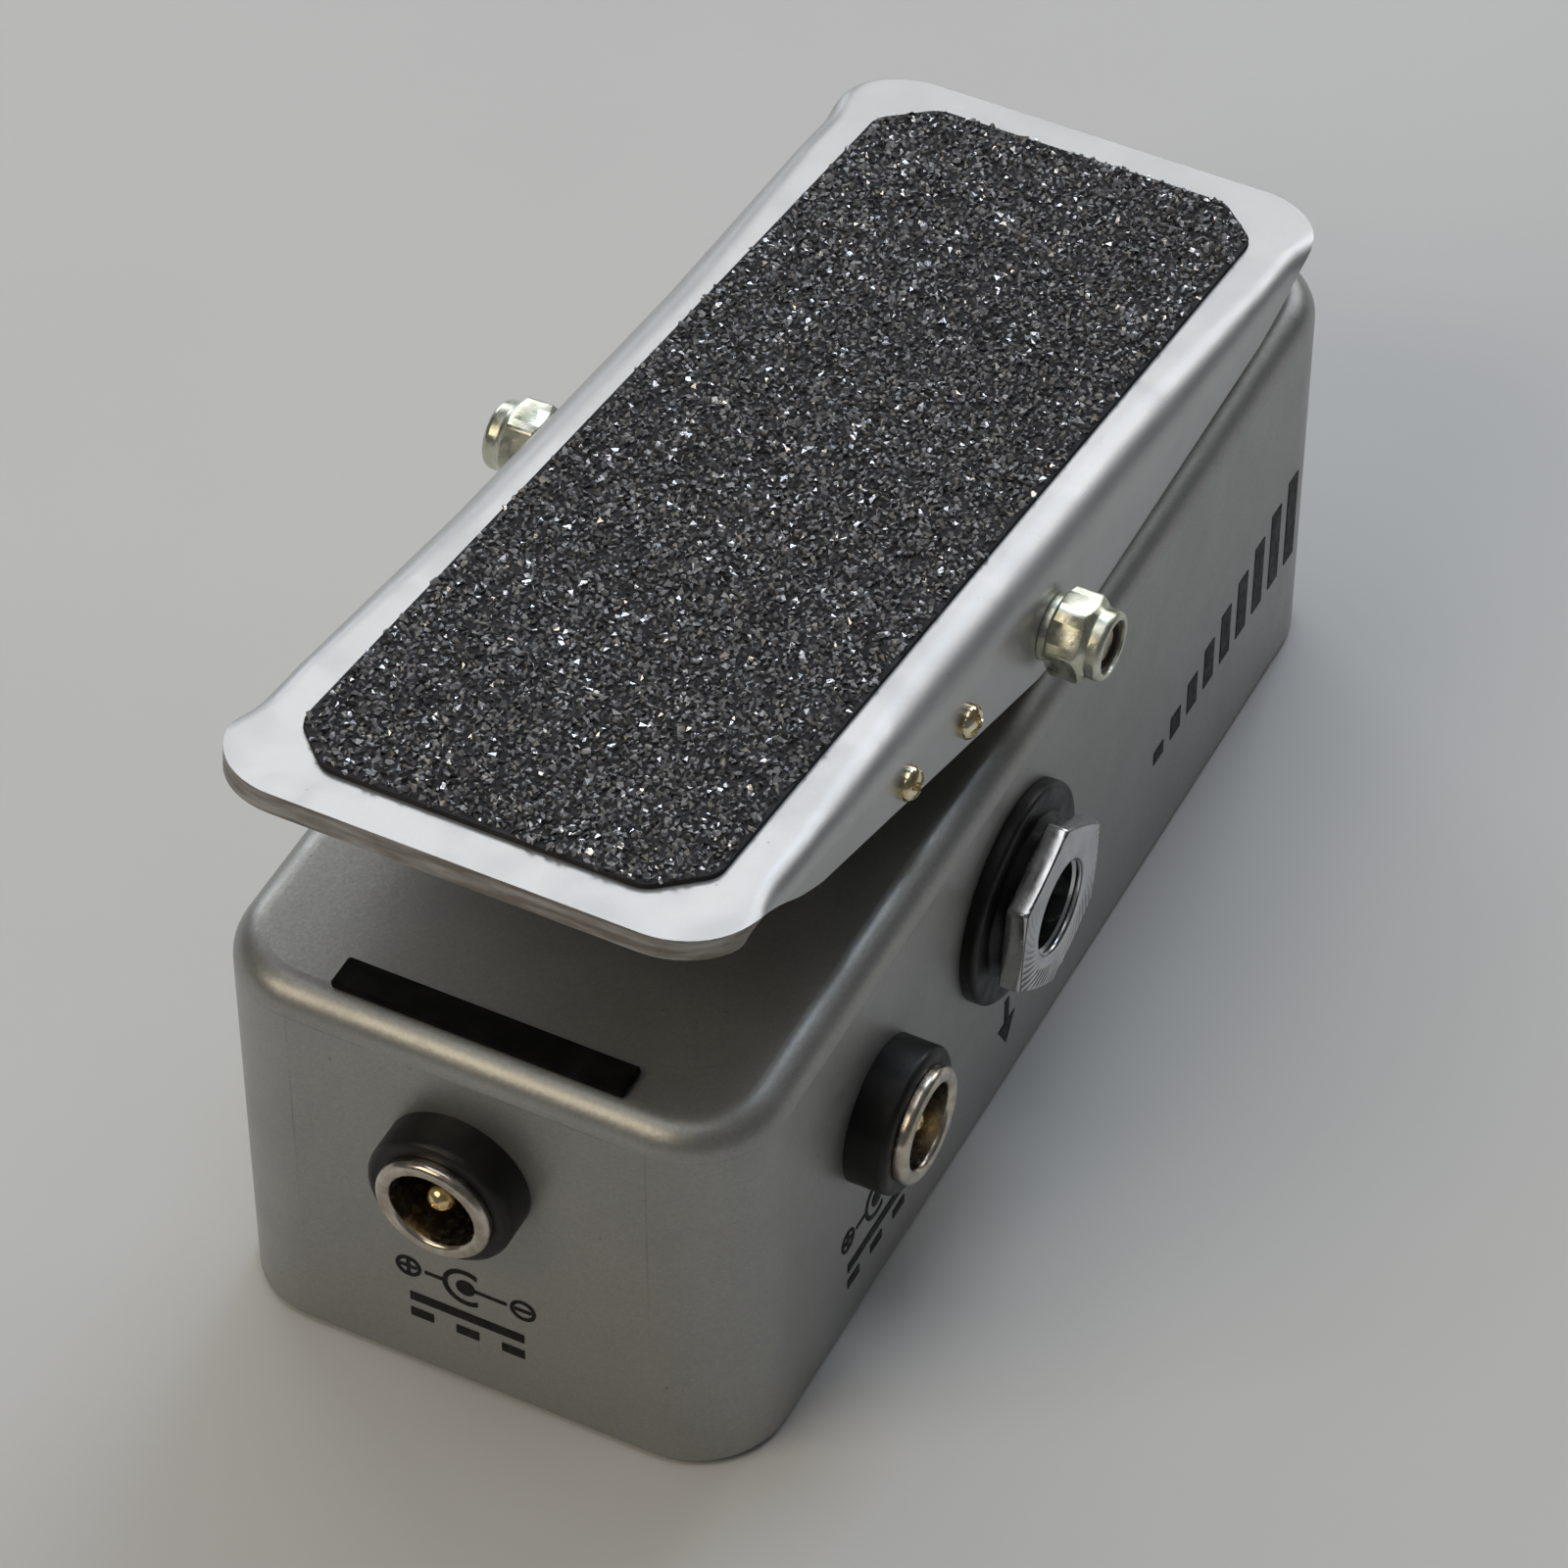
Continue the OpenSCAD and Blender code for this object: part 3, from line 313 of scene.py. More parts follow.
def grit_look():
    """Dark crystals whose tone varies from grain to grain, a few of them bright as metal."""
    grit = Look("grip_grit", (0.03, 0.03, 0.033), roughness=0.24, Specular_IOR_Level=0.8)
    shade = grit.attribute("grain")
    glint = grit.remap(shade, 0.85, 0.86)
    dark = grit.blend(shade, (0.035, 0.035, 0.038), (0.3, 0.3, 0.315))
    grit.color(grit.blend(glint, dark, (0.6, 0.61, 0.65)))
    grit.link(glint, grit.shader.inputs["Metallic"])
    grit.roughness(grit.remap(grit.noise(0.5, 3), 0.3, 0.7, 0.1, 0.3))
    grit.bump(grit.noise(0.09, 3), 0.015)
    return grit


def board_look():
    """Green solder mask over slightly raised tracks."""
    board = Look("board_green", (0.02, 0.14, 0.06), roughness=0.3, Specular_IOR_Level=0.55)
    track = board.remap(board.cells(2.2, "Distance"), 0.52, 0.56)
    board.color(board.blend(track, (0.02, 0.13, 0.055), (0.05, 0.25, 0.1)))
    board.bump(track, 0.03)
    return board


WIRE_TINTS = (
    (0.4, 0.02, 0.02), (0.02, 0.02, 0.02), (0.7, 0.68, 0.62), (0.6, 0.4, 0.03), (0.02, 0.2, 0.05)
)


def wire_look():
    """Wire insulation, each wire in a tint of its own."""
    wire = Look("wire_pvc", (0.3, 0.02, 0.02), roughness=0.35)
    island = wire.tree.nodes.new("ShaderNodeNewGeometry").outputs["Random Per Island"]
    tints = wire.tree.nodes.new("ShaderNodeValToRGB")
    tints.color_ramp.interpolation = "CONSTANT"
    stops = tints.color_ramp.elements
    for i, tint in enumerate(WIRE_TINTS):
        at = i / len(WIRE_TINTS)
        stop = stops[0] if i == 0 else stops.new(at)
        stop.position = at
        stop.color = (*tint, 1)
    stops.remove(stops[-1])
    wire.link(island, tints.inputs[0])
    wire.color(tints.outputs[0])
    wire.bump(wire.noise(0.4, 3), 0.01)
    return wire


def ink_look():
    """Thin matt printing ink, worn a little unevenly."""
    ink = Look("mark_ink", (0.005, 0.005, 0.005), roughness=0.5, Specular_IOR_Level=0.2)
    worn = ink.remap(ink.noise(0.35, 5), 0.5, 0.8)
    ink.color(ink.blend(worn, (0.004, 0.004, 0.004), (0.03, 0.03, 0.028)))
    ink.roughness(ink.remap(ink.noise(0.8, 3), 0.3, 0.7, 0.4, 0.62))
    return ink


# Paints: light tone, dark tone, roughness, amount of flake, whether the casting's seams show
PAINTS = {
    "case_paint": ((0.37, 0.37, 0.355), (0.34, 0.34, 0.33), 0.42, 0.05, True),
    "treadle_paint": ((0.48, 0.48, 0.478), (0.47, 0.47, 0.468), 0.37, 0.012),
}
# Metals: light tone, dark tone, roughness, extra relief, size of the patches in millimetres
METALS = {
    "zinc_screws": ((0.74, 0.74, 0.72), (0.58, 0.58, 0.55), 0.28),
    "bracket_steel": ((0.66, 0.66, 0.65), (0.55, 0.55, 0.54), 0.36, 0.0, 1.2),
    "bush_brass": ((0.83, 0.66, 0.34), (0.7, 0.52, 0.25), 0.26),
    "axle_steel": ((0.62, 0.56, 0.46), (0.42, 0.33, 0.24), 0.3, 0.0, 0.7),
    "nut_zinc": ((0.7, 0.71, 0.64), (0.56, 0.57, 0.43), 0.31, 0.014, 0.8),
    "rack_steel": ((0.6, 0.6, 0.62), (0.46, 0.46, 0.48), 0.34, 0.0, 0.9),
    "rack_screw_brass": ((0.86, 0.8, 0.6), (0.6, 0.46, 0.24), 0.13, 0.0, 0.3),
    "pot_shell": ((0.5, 0.52, 0.5), (0.36, 0.4, 0.38), 0.35, 0.0, 0.8),
    "jack_nickel": ((0.64, 0.64, 0.65), (0.52, 0.52, 0.53), 0.2, 0.0, 0.9),
    "pin_gold": ((0.9, 0.74, 0.42), (0.74, 0.52, 0.24), 0.18),
    "tinned_tabs": ((0.78, 0.77, 0.74), (0.62, 0.61, 0.58), 0.3),
    "spring_bronze": ((0.82, 0.68, 0.42), (0.68, 0.5, 0.28), 0.27),
}
# Plastics and rubbers: colour, roughness, size of the grain, depth of the grain, specular level
PLASTICS = {
    "sole_rubber": ((0.018, 0.018, 0.019), 0.82, 0.4, 0.05, 0.3),
    "strip_rubber": ((0.003, 0.003, 0.003), 0.8, 0.35, 0.03, 0.12),
    "spacer_nylon": ((0.78, 0.77, 0.72), 0.5),
    "pinion_nylon": ((0.8, 0.79, 0.74), 0.45),
    "jack_black": ((0.007, 0.0068, 0.0065), 0.4, 0.22, 0.01, 0.3),
    "chip_black": ((0.02, 0.02, 0.021), 0.55, 0.15),
    "cap_sleeve": ((0.03, 0.05, 0.2), 0.3, 1.0),
    "film_cap_red": ((0.35, 0.05, 0.025), 0.32, 0.8),
    "resistor_tan": ((0.5, 0.36, 0.2), 0.38, 0.5),
    "trimmer_blue": ((0.03, 0.12, 0.45), 0.35, 0.4),
}


def make_looks():
    """The material of every slot, by the slot's name."""
    looks = [grit_look(), board_look(), wire_look(), ink_look()]
    for make, table in ((silver_paint, PAINTS), (plated, METALS), (moulded, PLASTICS)):
        looks += [make(name, *values) for name, values in table.items()]
    return {look.name: look.material for look in looks}


LOOKS = make_looks()


def edge_look():
    """The cut edge of the treadle's sheet: the same paint as the top, coloured darker and a little warm
    as painted shade and a painted warm reflection.
    """
    look = Look("treadle_cut_edge", (0.3, 0.28, 0.25), metallic=0.6, roughness=0.45)
    # Painted shade: both tones are darker than the treadle's paint, and the noise only makes that shade
    # patchy.
    worn = look.remap(look.noise(1.5, 5, stretch=(3, 3, 0.4)), 0.4, 0.66)
    look.color(look.blend(worn, (0.2, 0.175, 0.145), (0.4, 0.39, 0.37)))
    look.roughness(look.remap(look.noise(0.6, 4), 0.3, 0.7, 0.34, 0.55))
    look.bump(look.noise(0.25, 3, stretch=(1, 1, 5)), 0.02)
    return look.material


# The jack nut's grooves, in millimetres behind its face: where their painted shade begins, where it is
# full, and where the sides of the nut begin. Full painted shade leaves this share of the tone.
GROOVE_TOP, GROOVE_FLOOR, GROOVE_BACK = 0.03, 0.12, 0.17
GROOVE_PAINTED_SHADE = 0.22


def nut_look():
    """Bright nickel whose grooved front face is painted darker down in its grooves, as painted shade.
    """
    look = plated("jack_nut_face", (0.68, 0.68, 0.69), (0.56, 0.56, 0.57), 0.2, size=0.9)
    face = box_mm("output_nut")[1].x
    out = look.calc("ABSOLUTE", look.axis("X"))
    # Painted shade: the colour darkens with depth in the grooves, as if shade fell in them.
    shade = look.remap(out, face - GROOVE_FLOOR, face - GROOVE_TOP, GROOVE_PAINTED_SHADE, 1.0)
    shade = look.calc("MAXIMUM", shade, look.calc("LESS_THAN", out, face - GROOVE_BACK))
    tone = look.shader.inputs["Base Color"].links[0].from_socket
    look.color(look.blend(1.0, tone, shade, "MULTIPLY"))
    return look.material


NUT_FACE = nut_look()
# The nylon insert is coloured near black: painted shade for the dark mouth of each lock nut.
NYLON = moulded("nylon_ring", (0.035, 0.024, 0.014), 0.5).material
GRIT_BACKING = moulded("grit_backing", (0.028, 0.028, 0.031), 0.85, specular=0.2).material
WARM_NICKEL = plated("warm_nickel", (0.62, 0.57, 0.5), (0.42, 0.37, 0.3), 0.22, size=0.6).material

for part in frame["record"]["subparts"]:
    for material_slot in frame["nodes"][part["node"]].material_slots:
        material_slot.material = LOOKS[part["material_slot"]]

# ---- mesh helpers ----


def in_scene(name, data):
    """A new object in the scene."""
    obj = bpy.data.objects.new(name, data)
    bpy.context.scene.collection.objects.link(obj)
    return obj


def smooth(mesh, crease=None):
    """Smooth shading, with sharp edges where faces meet at more than crease degrees."""
    mesh.polygons.foreach_set("use_smooth", [True] * len(mesh.polygons))
    if crease is not None:
        mesh.set_sharp_from_angle(angle=math.radians(crease))


def piece(name, points, faces, body, slot, nodes=(), looks=None, crease=34):
    """A mesh piece from points in millimetres in the shared frame. It rides on body and stands
    for nodes."""
    mesh = bpy.data.meshes.new(name)
    mesh.from_pydata((np.asarray(points, float) * MM).tolist(), [], faces)
    for look in looks or [LOOKS[slot]]:
        mesh.materials.append(look)
    clean = bmesh.new()
    clean.from_mesh(mesh)
    bmesh.ops.remove_doubles(clean, verts=clean.verts, dist=1e-7)
    bmesh.ops.recalc_face_normals(clean, faces=clean.faces)
    clean.to_mesh(mesh)
    clean.free()
    smooth(mesh, crease)
    obj = in_scene(name, mesh)
    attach(obj, body)
    if nodes:
        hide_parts(*nodes)
    return obj


def placed(points, matrix):
    """Points moved by a matrix."""
    turn = np.array(matrix.to_3x3())
    return np.asarray(points, float) @ turn.T + np.array(matrix.translation)


def joined(parts):
    """Several (points, faces) as one."""
    points, faces, start = [], [], 0
    for some_points, some_faces in parts:
        points.append(np.asarray(some_points, float))
        faces += [[i + start for i in face] for face in some_faces]
        start += len(some_points)
    return np.concatenate(points), faces


def rounded(corners, steps=4):
    """A closed outline from (a, b, radius) corners, each rounded by its radius."""
    line = []
    count = len(corners)
    for i, (x, y, radius) in enumerate(corners):
        here = Vector((x, y))
        before = (Vector(corners[i - 1][:2]) - here).normalized()
        after = (Vector(corners[(i + 1) % count][:2]) - here).normalized()
        if radius <= 0:
            line.append(tuple(here))
            continue
        half = before.angle(after) / 2
        reach = radius / math.tan(half)
        middle = here + (before + after).normalized() * (radius / math.sin(half))
        start, stop = here + before * reach, here + after * reach
        a0 = math.atan2(start.y - middle.y, start.x - middle.x)
        a1 = math.atan2(stop.y - middle.y, stop.x - middle.x)
        sweep = (a1 - a0 + math.pi) % (2 * math.pi) - math.pi
        for k in range(steps + 1):
            a = a0 + sweep * k / steps
            line.append((middle.x + radius * math.cos(a), middle.y + radius * math.sin(a)))
    return line


def turned(profile, steps):
    """A closed (radius, z) outline turned round Z."""
    return swept([(r, z, 0, 0, 0) for r, z in profile], steps)


# Share of their depth that spiral grooves keep on the side away from their deepest
SHALLOWEST = 0.15


def swept(profile, steps, flat=0.0, corner=0.0, ridges=0, twist=0.0, start=0.0, deepest=0.0):
    """A closed outline turned round Z, which may swell to a hexagon.
    Each point is (radius, z, hexness, drop, ridge): at a hexagon's corners the radius grows by
    hexness times the corner's excess and z falls by drop times it, and ridge cuts spiral grooves,
    deepest towards the direction deepest."""
    angles = np.linspace(0, 2 * math.pi, steps, endpoint=False)
    bend = np.abs((angles + math.pi / 6) % (math.pi / 3) - math.pi / 6) if flat else angles
    excess = np.minimum(flat / np.cos(math.pi / 6 - bend), corner) - flat if flat else 0 * angles
    facing = 0.5 + 0.5 * np.cos(angles + start - deepest)
    rings = []
    for radius, z, hexness, drop, ridge in profile:
        r = radius + hexness * excess
        wave = 0.5 - 0.5 * np.cos(ridges * angles + twist * r)
        wave = wave * (SHALLOWEST + (1 - SHALLOWEST) * facing**2)
        h = z - drop * excess - ridge * wave
        rings.append(np.stack([r * np.cos(angles + start), r * np.sin(angles + start), h], 1))
    count = len(profile)
    faces = []
    for i in range(count):
        j = (i + 1) % count
        for k in range(steps):
            n = (k + 1) % steps
            faces.append([i * steps + k, i * steps + n, j * steps + n, j * steps + k])
    return np.concatenate(rings), faces


def dome(radius, height, slot_depth, steps=96, rings=18):
    """A domed cross-recess screw head standing on z = 0."""
    arm, reach, soft = 0.19 * radius, 0.68 * radius, 0.05 * radius
    points, faces = [], []
    for i in range(rings + 1):
        t = i / rings
        r = radius * math.sin(t * math.pi / 2)
        z_top = height * (0.25 + 0.75 * math.cos(t * math.pi / 2))
        for k in range(steps):
            a = 2 * math.pi * k / steps
            x, y = r * math.cos(a), r * math.sin(a)
            cut = max(
                smooth_edge(arm - abs(x), soft) * smooth_edge(reach - abs(y), soft),
                smooth_edge(arm - abs(y), soft) * smooth_edge(reach - abs(x), soft),
            )
            points.append((x, y, z_top - slot_depth * cut))
    for k in range(steps):
        a = 2 * math.pi * k / steps
        points.append((radius * math.cos(a), radius * math.sin(a), 0))
    for i in range(rings + 1):
        for k in range(steps):
            n = (k + 1) % steps
            faces.append([i * steps + k, (i + 1) * steps + k, (i + 1) * steps + n, i * steps + n])
    faces.append([(rings + 1) * steps + k for k in range(steps)])
    return points, faces


def smooth_edge(inside, soft):
    """0 outside a shape and 1 inside it, over a soft edge."""
    t = min(1.0, max(0.0, 0.5 + inside / (2 * soft)))
    return t * t * (3 - 2 * t)


def softened(node, body, width):
    """A copy of a CAD node with small rounded edges, which stands for it."""
    source = frame["nodes"][node]
    mesh = source.data.copy()
    clean = bmesh.new()
    clean.from_mesh(mesh)
    bmesh.ops.remove_doubles(clean, verts=clean.verts, dist=2e-6)
    bmesh.ops.dissolve_limit(
        clean, angle_limit=math.radians(0.5), verts=clean.verts, edges=clean.edges
    )
    sharp = [
        e for e in clean.edges
        if len(e.link_faces) == 2 and e.calc_face_angle(0) > math.radians(40)
    ]
    bmesh.ops.bevel(
        clean, geom=sharp, offset=width * MM, segments=2, affect="EDGES", clamp_overlap=True
    )
    clean.to_mesh(mesh)
    clean.free()
    smooth(mesh, 30)
    obj = in_scene(node + "_soft", mesh)
    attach(obj, body)
    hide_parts(node)


# ---- treadle ----

# The sheet: outside of a skirt, thickness, top, middle and half length, radius of the ears, and
# the rounding of its edges. Heights are over the axle.
SKIRT_X, SHEET_T = 18.2, 1.5
TREADLE_TOP = 5.8
TREADLE_MID, TREADLE_HALF = -0.6, 47.4
EAR_R, EDGE_SOFT = 5.5, 0.55
# Radius of the bend at the axle, the least near the ends, and the loss per millimetre between
BEND_R, TIGHT_R, TIGHTENING = 3.0, 1.6, 0.07
# The skirt's lower edge at the axle and its slope, then its flare into the flat ends, as
# (distance from the axle, height)
SKIRT_LOW, SKIRT_RISE = -3.8, math.tan(math.radians(10.1))
FLARE = (
    (33.6, 2.18), (35.5, 2.75), (37.3, 3.42), (38.5, 3.98), (39.7, 4.55), (40.9, 5.05),
    (42.1, 5.45), (43.4, 5.72), (44.6, 5.8),
)


def lower_edge(v):
    """Height of the sheet's side edge at v."""
    a = abs(v)
    if a <= FLARE[0][0]:
        return SKIRT_LOW + a * SKIRT_RISE
    if a >= FLARE[-1][0]:
        return FLARE[-1][1]
    i = next(k for k in range(len(FLARE) - 1) if a <= FLARE[k + 1][0])
    (a0, h0), (a1, h1) = FLARE[i], FLARE[i + 1]
    slope0 = SKIRT_RISE if i == 0 else (h1 - FLARE[i - 1][1]) / (a1 - FLARE[i - 1][0])
    slope1 = 0.0 if i + 2 == len(FLARE) else (FLARE[i + 2][1] - h0) / (FLARE[i + 2][0] - a0)
    span = a1 - a0
    t = (a - a0) / span
    return (
        (2 * t**3 - 3 * t**2 + 1) * h0 + (t**3 - 2 * t**2 + t) * slope0 * span
        + (-2 * t**3 + 3 * t**2) * h1 + (t**3 - t**2) * slope1 * span
    )


def treadle_stations():
    """Places along the sheet, closer together at the ears' round corners."""
    low, high = TREADLE_MID - TREADLE_HALF, TREADLE_MID + TREADLE_HALF
    start = FLARE[0][0]
    corner = [EAR_R * (1 - math.cos(a)) for a in np.linspace(0, math.pi / 2, 13)]
    places = [low + c for c in corner]
    places += list(np.linspace(low + EAR_R, -start, 30)[1:])
    places += list(np.linspace(-start, start, 34)[1:])
    places += list(np.linspace(start, high - EAR_R, 26)[1:])
    places += [high - c for c in reversed(corner[:-1])]
    return places


def half_width(v):
    """Half the sheet's width over the ears, less at their round corners."""
    past = abs(v - TREADLE_MID) - (TREADLE_HALF - EAR_R)
    return SKIRT_X if past <= 0 else SKIRT_X - EAR_R + math.sqrt(max(0.0, EAR_R**2 - past**2))


def treadle_section(v):
    """The outer surface at v from the middle to the right edge, as (x, height)."""
    radius = max(TIGHT_R, BEND_R - TIGHTENING * max(0.0, abs(v) - BEND_R * 5))
    drop = TREADLE_TOP - lower_edge(v)
    angle = math.pi / 2 if drop >= radius else math.acos(1 - drop / radius)
    flat = SKIRT_X - BEND_R
    lead = BEND_R - radius * math.sin(angle)
    arc = radius * angle
    length = lead + arc + max(0.0, drop - radius)
    shrink = half_width(v) / SKIRT_X
    line = [(x * shrink, TREADLE_TOP) for x in np.linspace(0, flat, 7)]
    for share in np.linspace(0, 1, 25)[1:]:
        d = share * length
        a = min(angle, max(0.0, d - lead) / radius)
        x = flat + min(d, lead) + radius * math.sin(a)
        h = TREADLE_TOP - radius * (1 - math.cos(a)) - max(0.0, d - lead - arc)
        line.append((x * shrink, h))
    return line


def applied(obj):
    """Turns an object's modifiers into mesh."""
    graph = bpy.context.evaluated_depsgraph_get()
    mesh = bpy.data.meshes.new_from_object(obj.evaluated_get(graph))
    obj.modifiers.clear()
    obj.data = mesh
    return mesh


def make_treadle():
    """The bent sheet: an outer surface, thickened inwards, with rounded edges."""
    points, faces = [], []
    places = treadle_stations()
    for v in places:
        half = treadle_section(v)
        line = [(-x, h) for x, h in reversed(half[1:])] + half
        points += [(x, v, h) for x, h in line]
    across = len(line)
    for i in range(len(places) - 1):
        for k in range(across - 1):
            a = i * across + k
            faces.append([a, a + 1, a + across + 1, a + across])
    obj = piece(
        "treadle_sheet", placed(points, ON_TREADLE), faces, "treadle", "treadle_paint",
        ["treadle_plate"], [LOOKS["treadle_paint"], edge_look()], crease=180,
    )
    up = sum((p.normal.z * p.area for p in obj.data.polygons), 0.0)
    if up < 0:
        obj.data.flip_normals()
    thick = obj.modifiers.new("thickness", "SOLIDIFY")
    thick.thickness = SHEET_T * MM
    thick.offset = -1
    thick.use_even_offset = True
    # The cut faces round the rim take the darker edge material, which is painted shade.
    thick.material_offset_rim = 1
    soft = obj.modifiers.new("soft_edges", "BEVEL")
    soft.width = EDGE_SOFT * MM
    soft.segments = 4
    soft.limit_method = "ANGLE"
    soft.angle_limit = math.radians(50)
    soft.use_clamp_overlap = True
    soft.material = 0
    smooth(applied(obj), 60)


# ---- grip pad ----

# The pad: width, length and middle, the cut across its corners and their rounding, its backing
PAD_W, PAD_L, PAD_MID = 28.9, 87.9, -0.45
PAD_CUT, PAD_ROUND = 3.4, 2.0
BACKING_T = 0.34
# The grains: their spacing, how many shapes there are, and how far they stay off the pad's edge
GRAIN_STEP, GRAIN_SHAPES, GRAIN_INSET = 0.40, 20, 0.17


def pad_outline(inset):
    """Corners of the pad's outline, cut at 45 degrees and rounded."""
    w, half = PAD_W / 2 - inset, PAD_L / 2 - inset
    cut = PAD_CUT - inset * 0.4
    corners = [
        (w, -half + cut), (w, half - cut), (w - cut, half), (-w + cut, half),
        (-w, half - cut), (-w, -half + cut), (-w + cut, -half), (w - cut, -half),
    ]
    return rounded([(x, y, PAD_ROUND) for x, y in corners], 5)


def inside_outline(points, outline):
    """Which points lie inside a convex outline that runs anticlockwise."""
    ok = np.ones(len(points), bool)
    for i, (x0, y0) in enumerate(outline):
        x1, y1 = outline[(i + 1) % len(outline)]
        ok &= (x1 - x0) * (points[:, 1] - y0) - (y1 - y0) * (points[:, 0] - x0) >= -1e-9
    return ok


def grain_shape():
    """A small random crystal: the hull of a few points on a ball."""
    cloud = rng.normal(size=(8, 3))
    cloud /= np.linalg.norm(cloud, axis=1)[:, None]
    hull = bmesh.new()
    for p in cloud:
        hull.verts.new(p)
    made = bmesh.ops.convex_hull(hull, input=hull.verts)
    spare = made["geom_interior"] + made["geom_unused"]
    for vertex in {g for g in spare if isinstance(g, bmesh.types.BMVert)}:
        hull.verts.remove(vertex)
    bmesh.ops.triangulate(hull, faces=hull.faces)
    bmesh.ops.recalc_face_normals(hull, faces=hull.faces)
    hull.verts.index_update()
    points = np.array([v.co for v in hull.verts])
    faces = np.array([[v.index for v in f.verts] for f in hull.faces])
    hull.free()
    return points, faces


def random_turns(count):
    """Random rotation matrices from random quaternions."""
    q = rng.normal(size=(count, 4))
    q /= np.linalg.norm(q, axis=1)[:, None]
    w, x, y, z = q.T
    return np.stack([
        np.stack([1 - 2 * (y * y + z * z), 2 * (x * y - z * w), 2 * (x * z + y * w)], 1),
        np.stack([2 * (x * y + z * w), 1 - 2 * (x * x + z * z), 2 * (y * z - x * w)], 1),
        np.stack([2 * (x * z - y * w), 2 * (y * z + x * w), 1 - 2 * (x * x + y * y)], 1),
    ], 1)


def make_grip():
    """The grit pad: a thin dark backing under thousands of separate grains."""
    outline = pad_outline(0.0)
    count = len(outline)
    backing = [(x, y + PAD_MID, TREADLE_TOP) for x, y in outline]
    backing += [(x * 0.998, y * 0.999 + PAD_MID, TREADLE_TOP + BACKING_T) for x, y in outline]
    backing_faces = [list(range(count - 1, -1, -1)), list(range(count, 2 * count))]
    backing_faces += [[i, (i + 1) % count, (i + 1) % count + count, i + count] for i in range(count)]

    nx, ny = int(PAD_W / GRAIN_STEP), int(PAD_L / GRAIN_STEP)
    gx, gy = np.meshgrid(np.arange(nx + 1), np.arange(ny + 1))
    spots = np.stack([
        (gx.ravel() - nx / 2) * GRAIN_STEP, (gy.ravel() - ny / 2) * GRAIN_STEP
    ], 1)
    spots += rng.uniform(-0.42, 0.42, spots.shape) * GRAIN_STEP
    spots = spots[inside_outline(spots, pad_outline(GRAIN_INSET))]
    total = len(spots)
    size = np.clip(rng.normal(0.245, 0.05, total), 0.13, 0.34)
    stretch = rng.uniform(0.75, 1.25, (total, 3))
    height = TREADLE_TOP + BACKING_T + rng.uniform(-0.02, 0.1, total)
    turns = random_turns(total)
    tone = rng.random(total)
    shapes = [grain_shape() for _ in range(GRAIN_SHAPES)]
    pick = rng.integers(0, GRAIN_SHAPES, total)

    all_points, all_tones, face_rows = [np.array(backing)], [], []
    start = len(backing)
    for s, (shape, faces) in enumerate(shapes):
        chosen = np.nonzero(pick == s)[0]
        grains = shape[None] * stretch[chosen][:, None] * size[chosen][:, None, None]
        grains = np.einsum("nij,nkj->nki", turns[chosen], grains)
        grains[:, :, 0] += spots[chosen, 0][:, None]
        grains[:, :, 1] += spots[chosen, 1][:, None] + PAD_MID
        grains[:, :, 2] += height[chosen][:, None]
        grains[:, :, 2] = np.maximum(grains[:, :, 2], TREADLE_TOP + 0.05)
        all_points.append(grains.reshape(-1, 3))
        offsets = start + np.arange(len(chosen)) * len(shape)
        face_rows.append((faces[None] + offsets[:, None, None]).reshape(-1, 3))
        all_tones.append(np.repeat(tone[chosen], len(faces)))
        start += len(chosen) * len(shape)
    points = placed(np.concatenate(all_points), ON_TREADLE) * MM
    grain_faces = np.concatenate(face_rows).tolist()
    mesh = bpy.data.meshes.new("grip_sheet")
    mesh.from_pydata(points.tolist(), [], backing_faces + grain_faces)
    mesh.materials.append(LOOKS["grip_grit"])
    mesh.materials.append(GRIT_BACKING)
    of_look = [1] * len(backing_faces) + [0] * len(grain_faces)
    mesh.polygons.foreach_set("material_index", of_look)
    layer = mesh.attributes.new("grain", "FLOAT", "FACE")
    tones = np.concatenate([np.zeros(len(backing_faces))] + all_tones)
    layer.data.foreach_set("value", tones.astype(np.float32))
    obj = in_scene("grip_sheet", mesh)
    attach(obj, "treadle")
    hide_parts("grip_pad")


# ---- jacks ----

# Signal jacks, outwards from the wall: a flanged ring with a hub, a hexagon nut on a threaded
# tube, and the turn of the nut. The nut's grooves are deepest towards GROOVES_AT.
RING_R, RING_T, HUB_R, HUB_T = 7.9, 1.1, 5.3, 2.0
JACK_NUT_T, JACK_NUT_CORNER = 1.7, 6.62
JACK_NUT_TURN, GROOVES_AT = math.radians(22.4), math.radians(245)
GROOVES, GROOVE_TWIST, GROOVE_DEPTH = 48, 9.0, 0.15
THREAD_R, JACK_BORE_R = 4.6, 3.25
TUBE_R, TUBE_L = 4.2, 5.1
WALL = 2.0


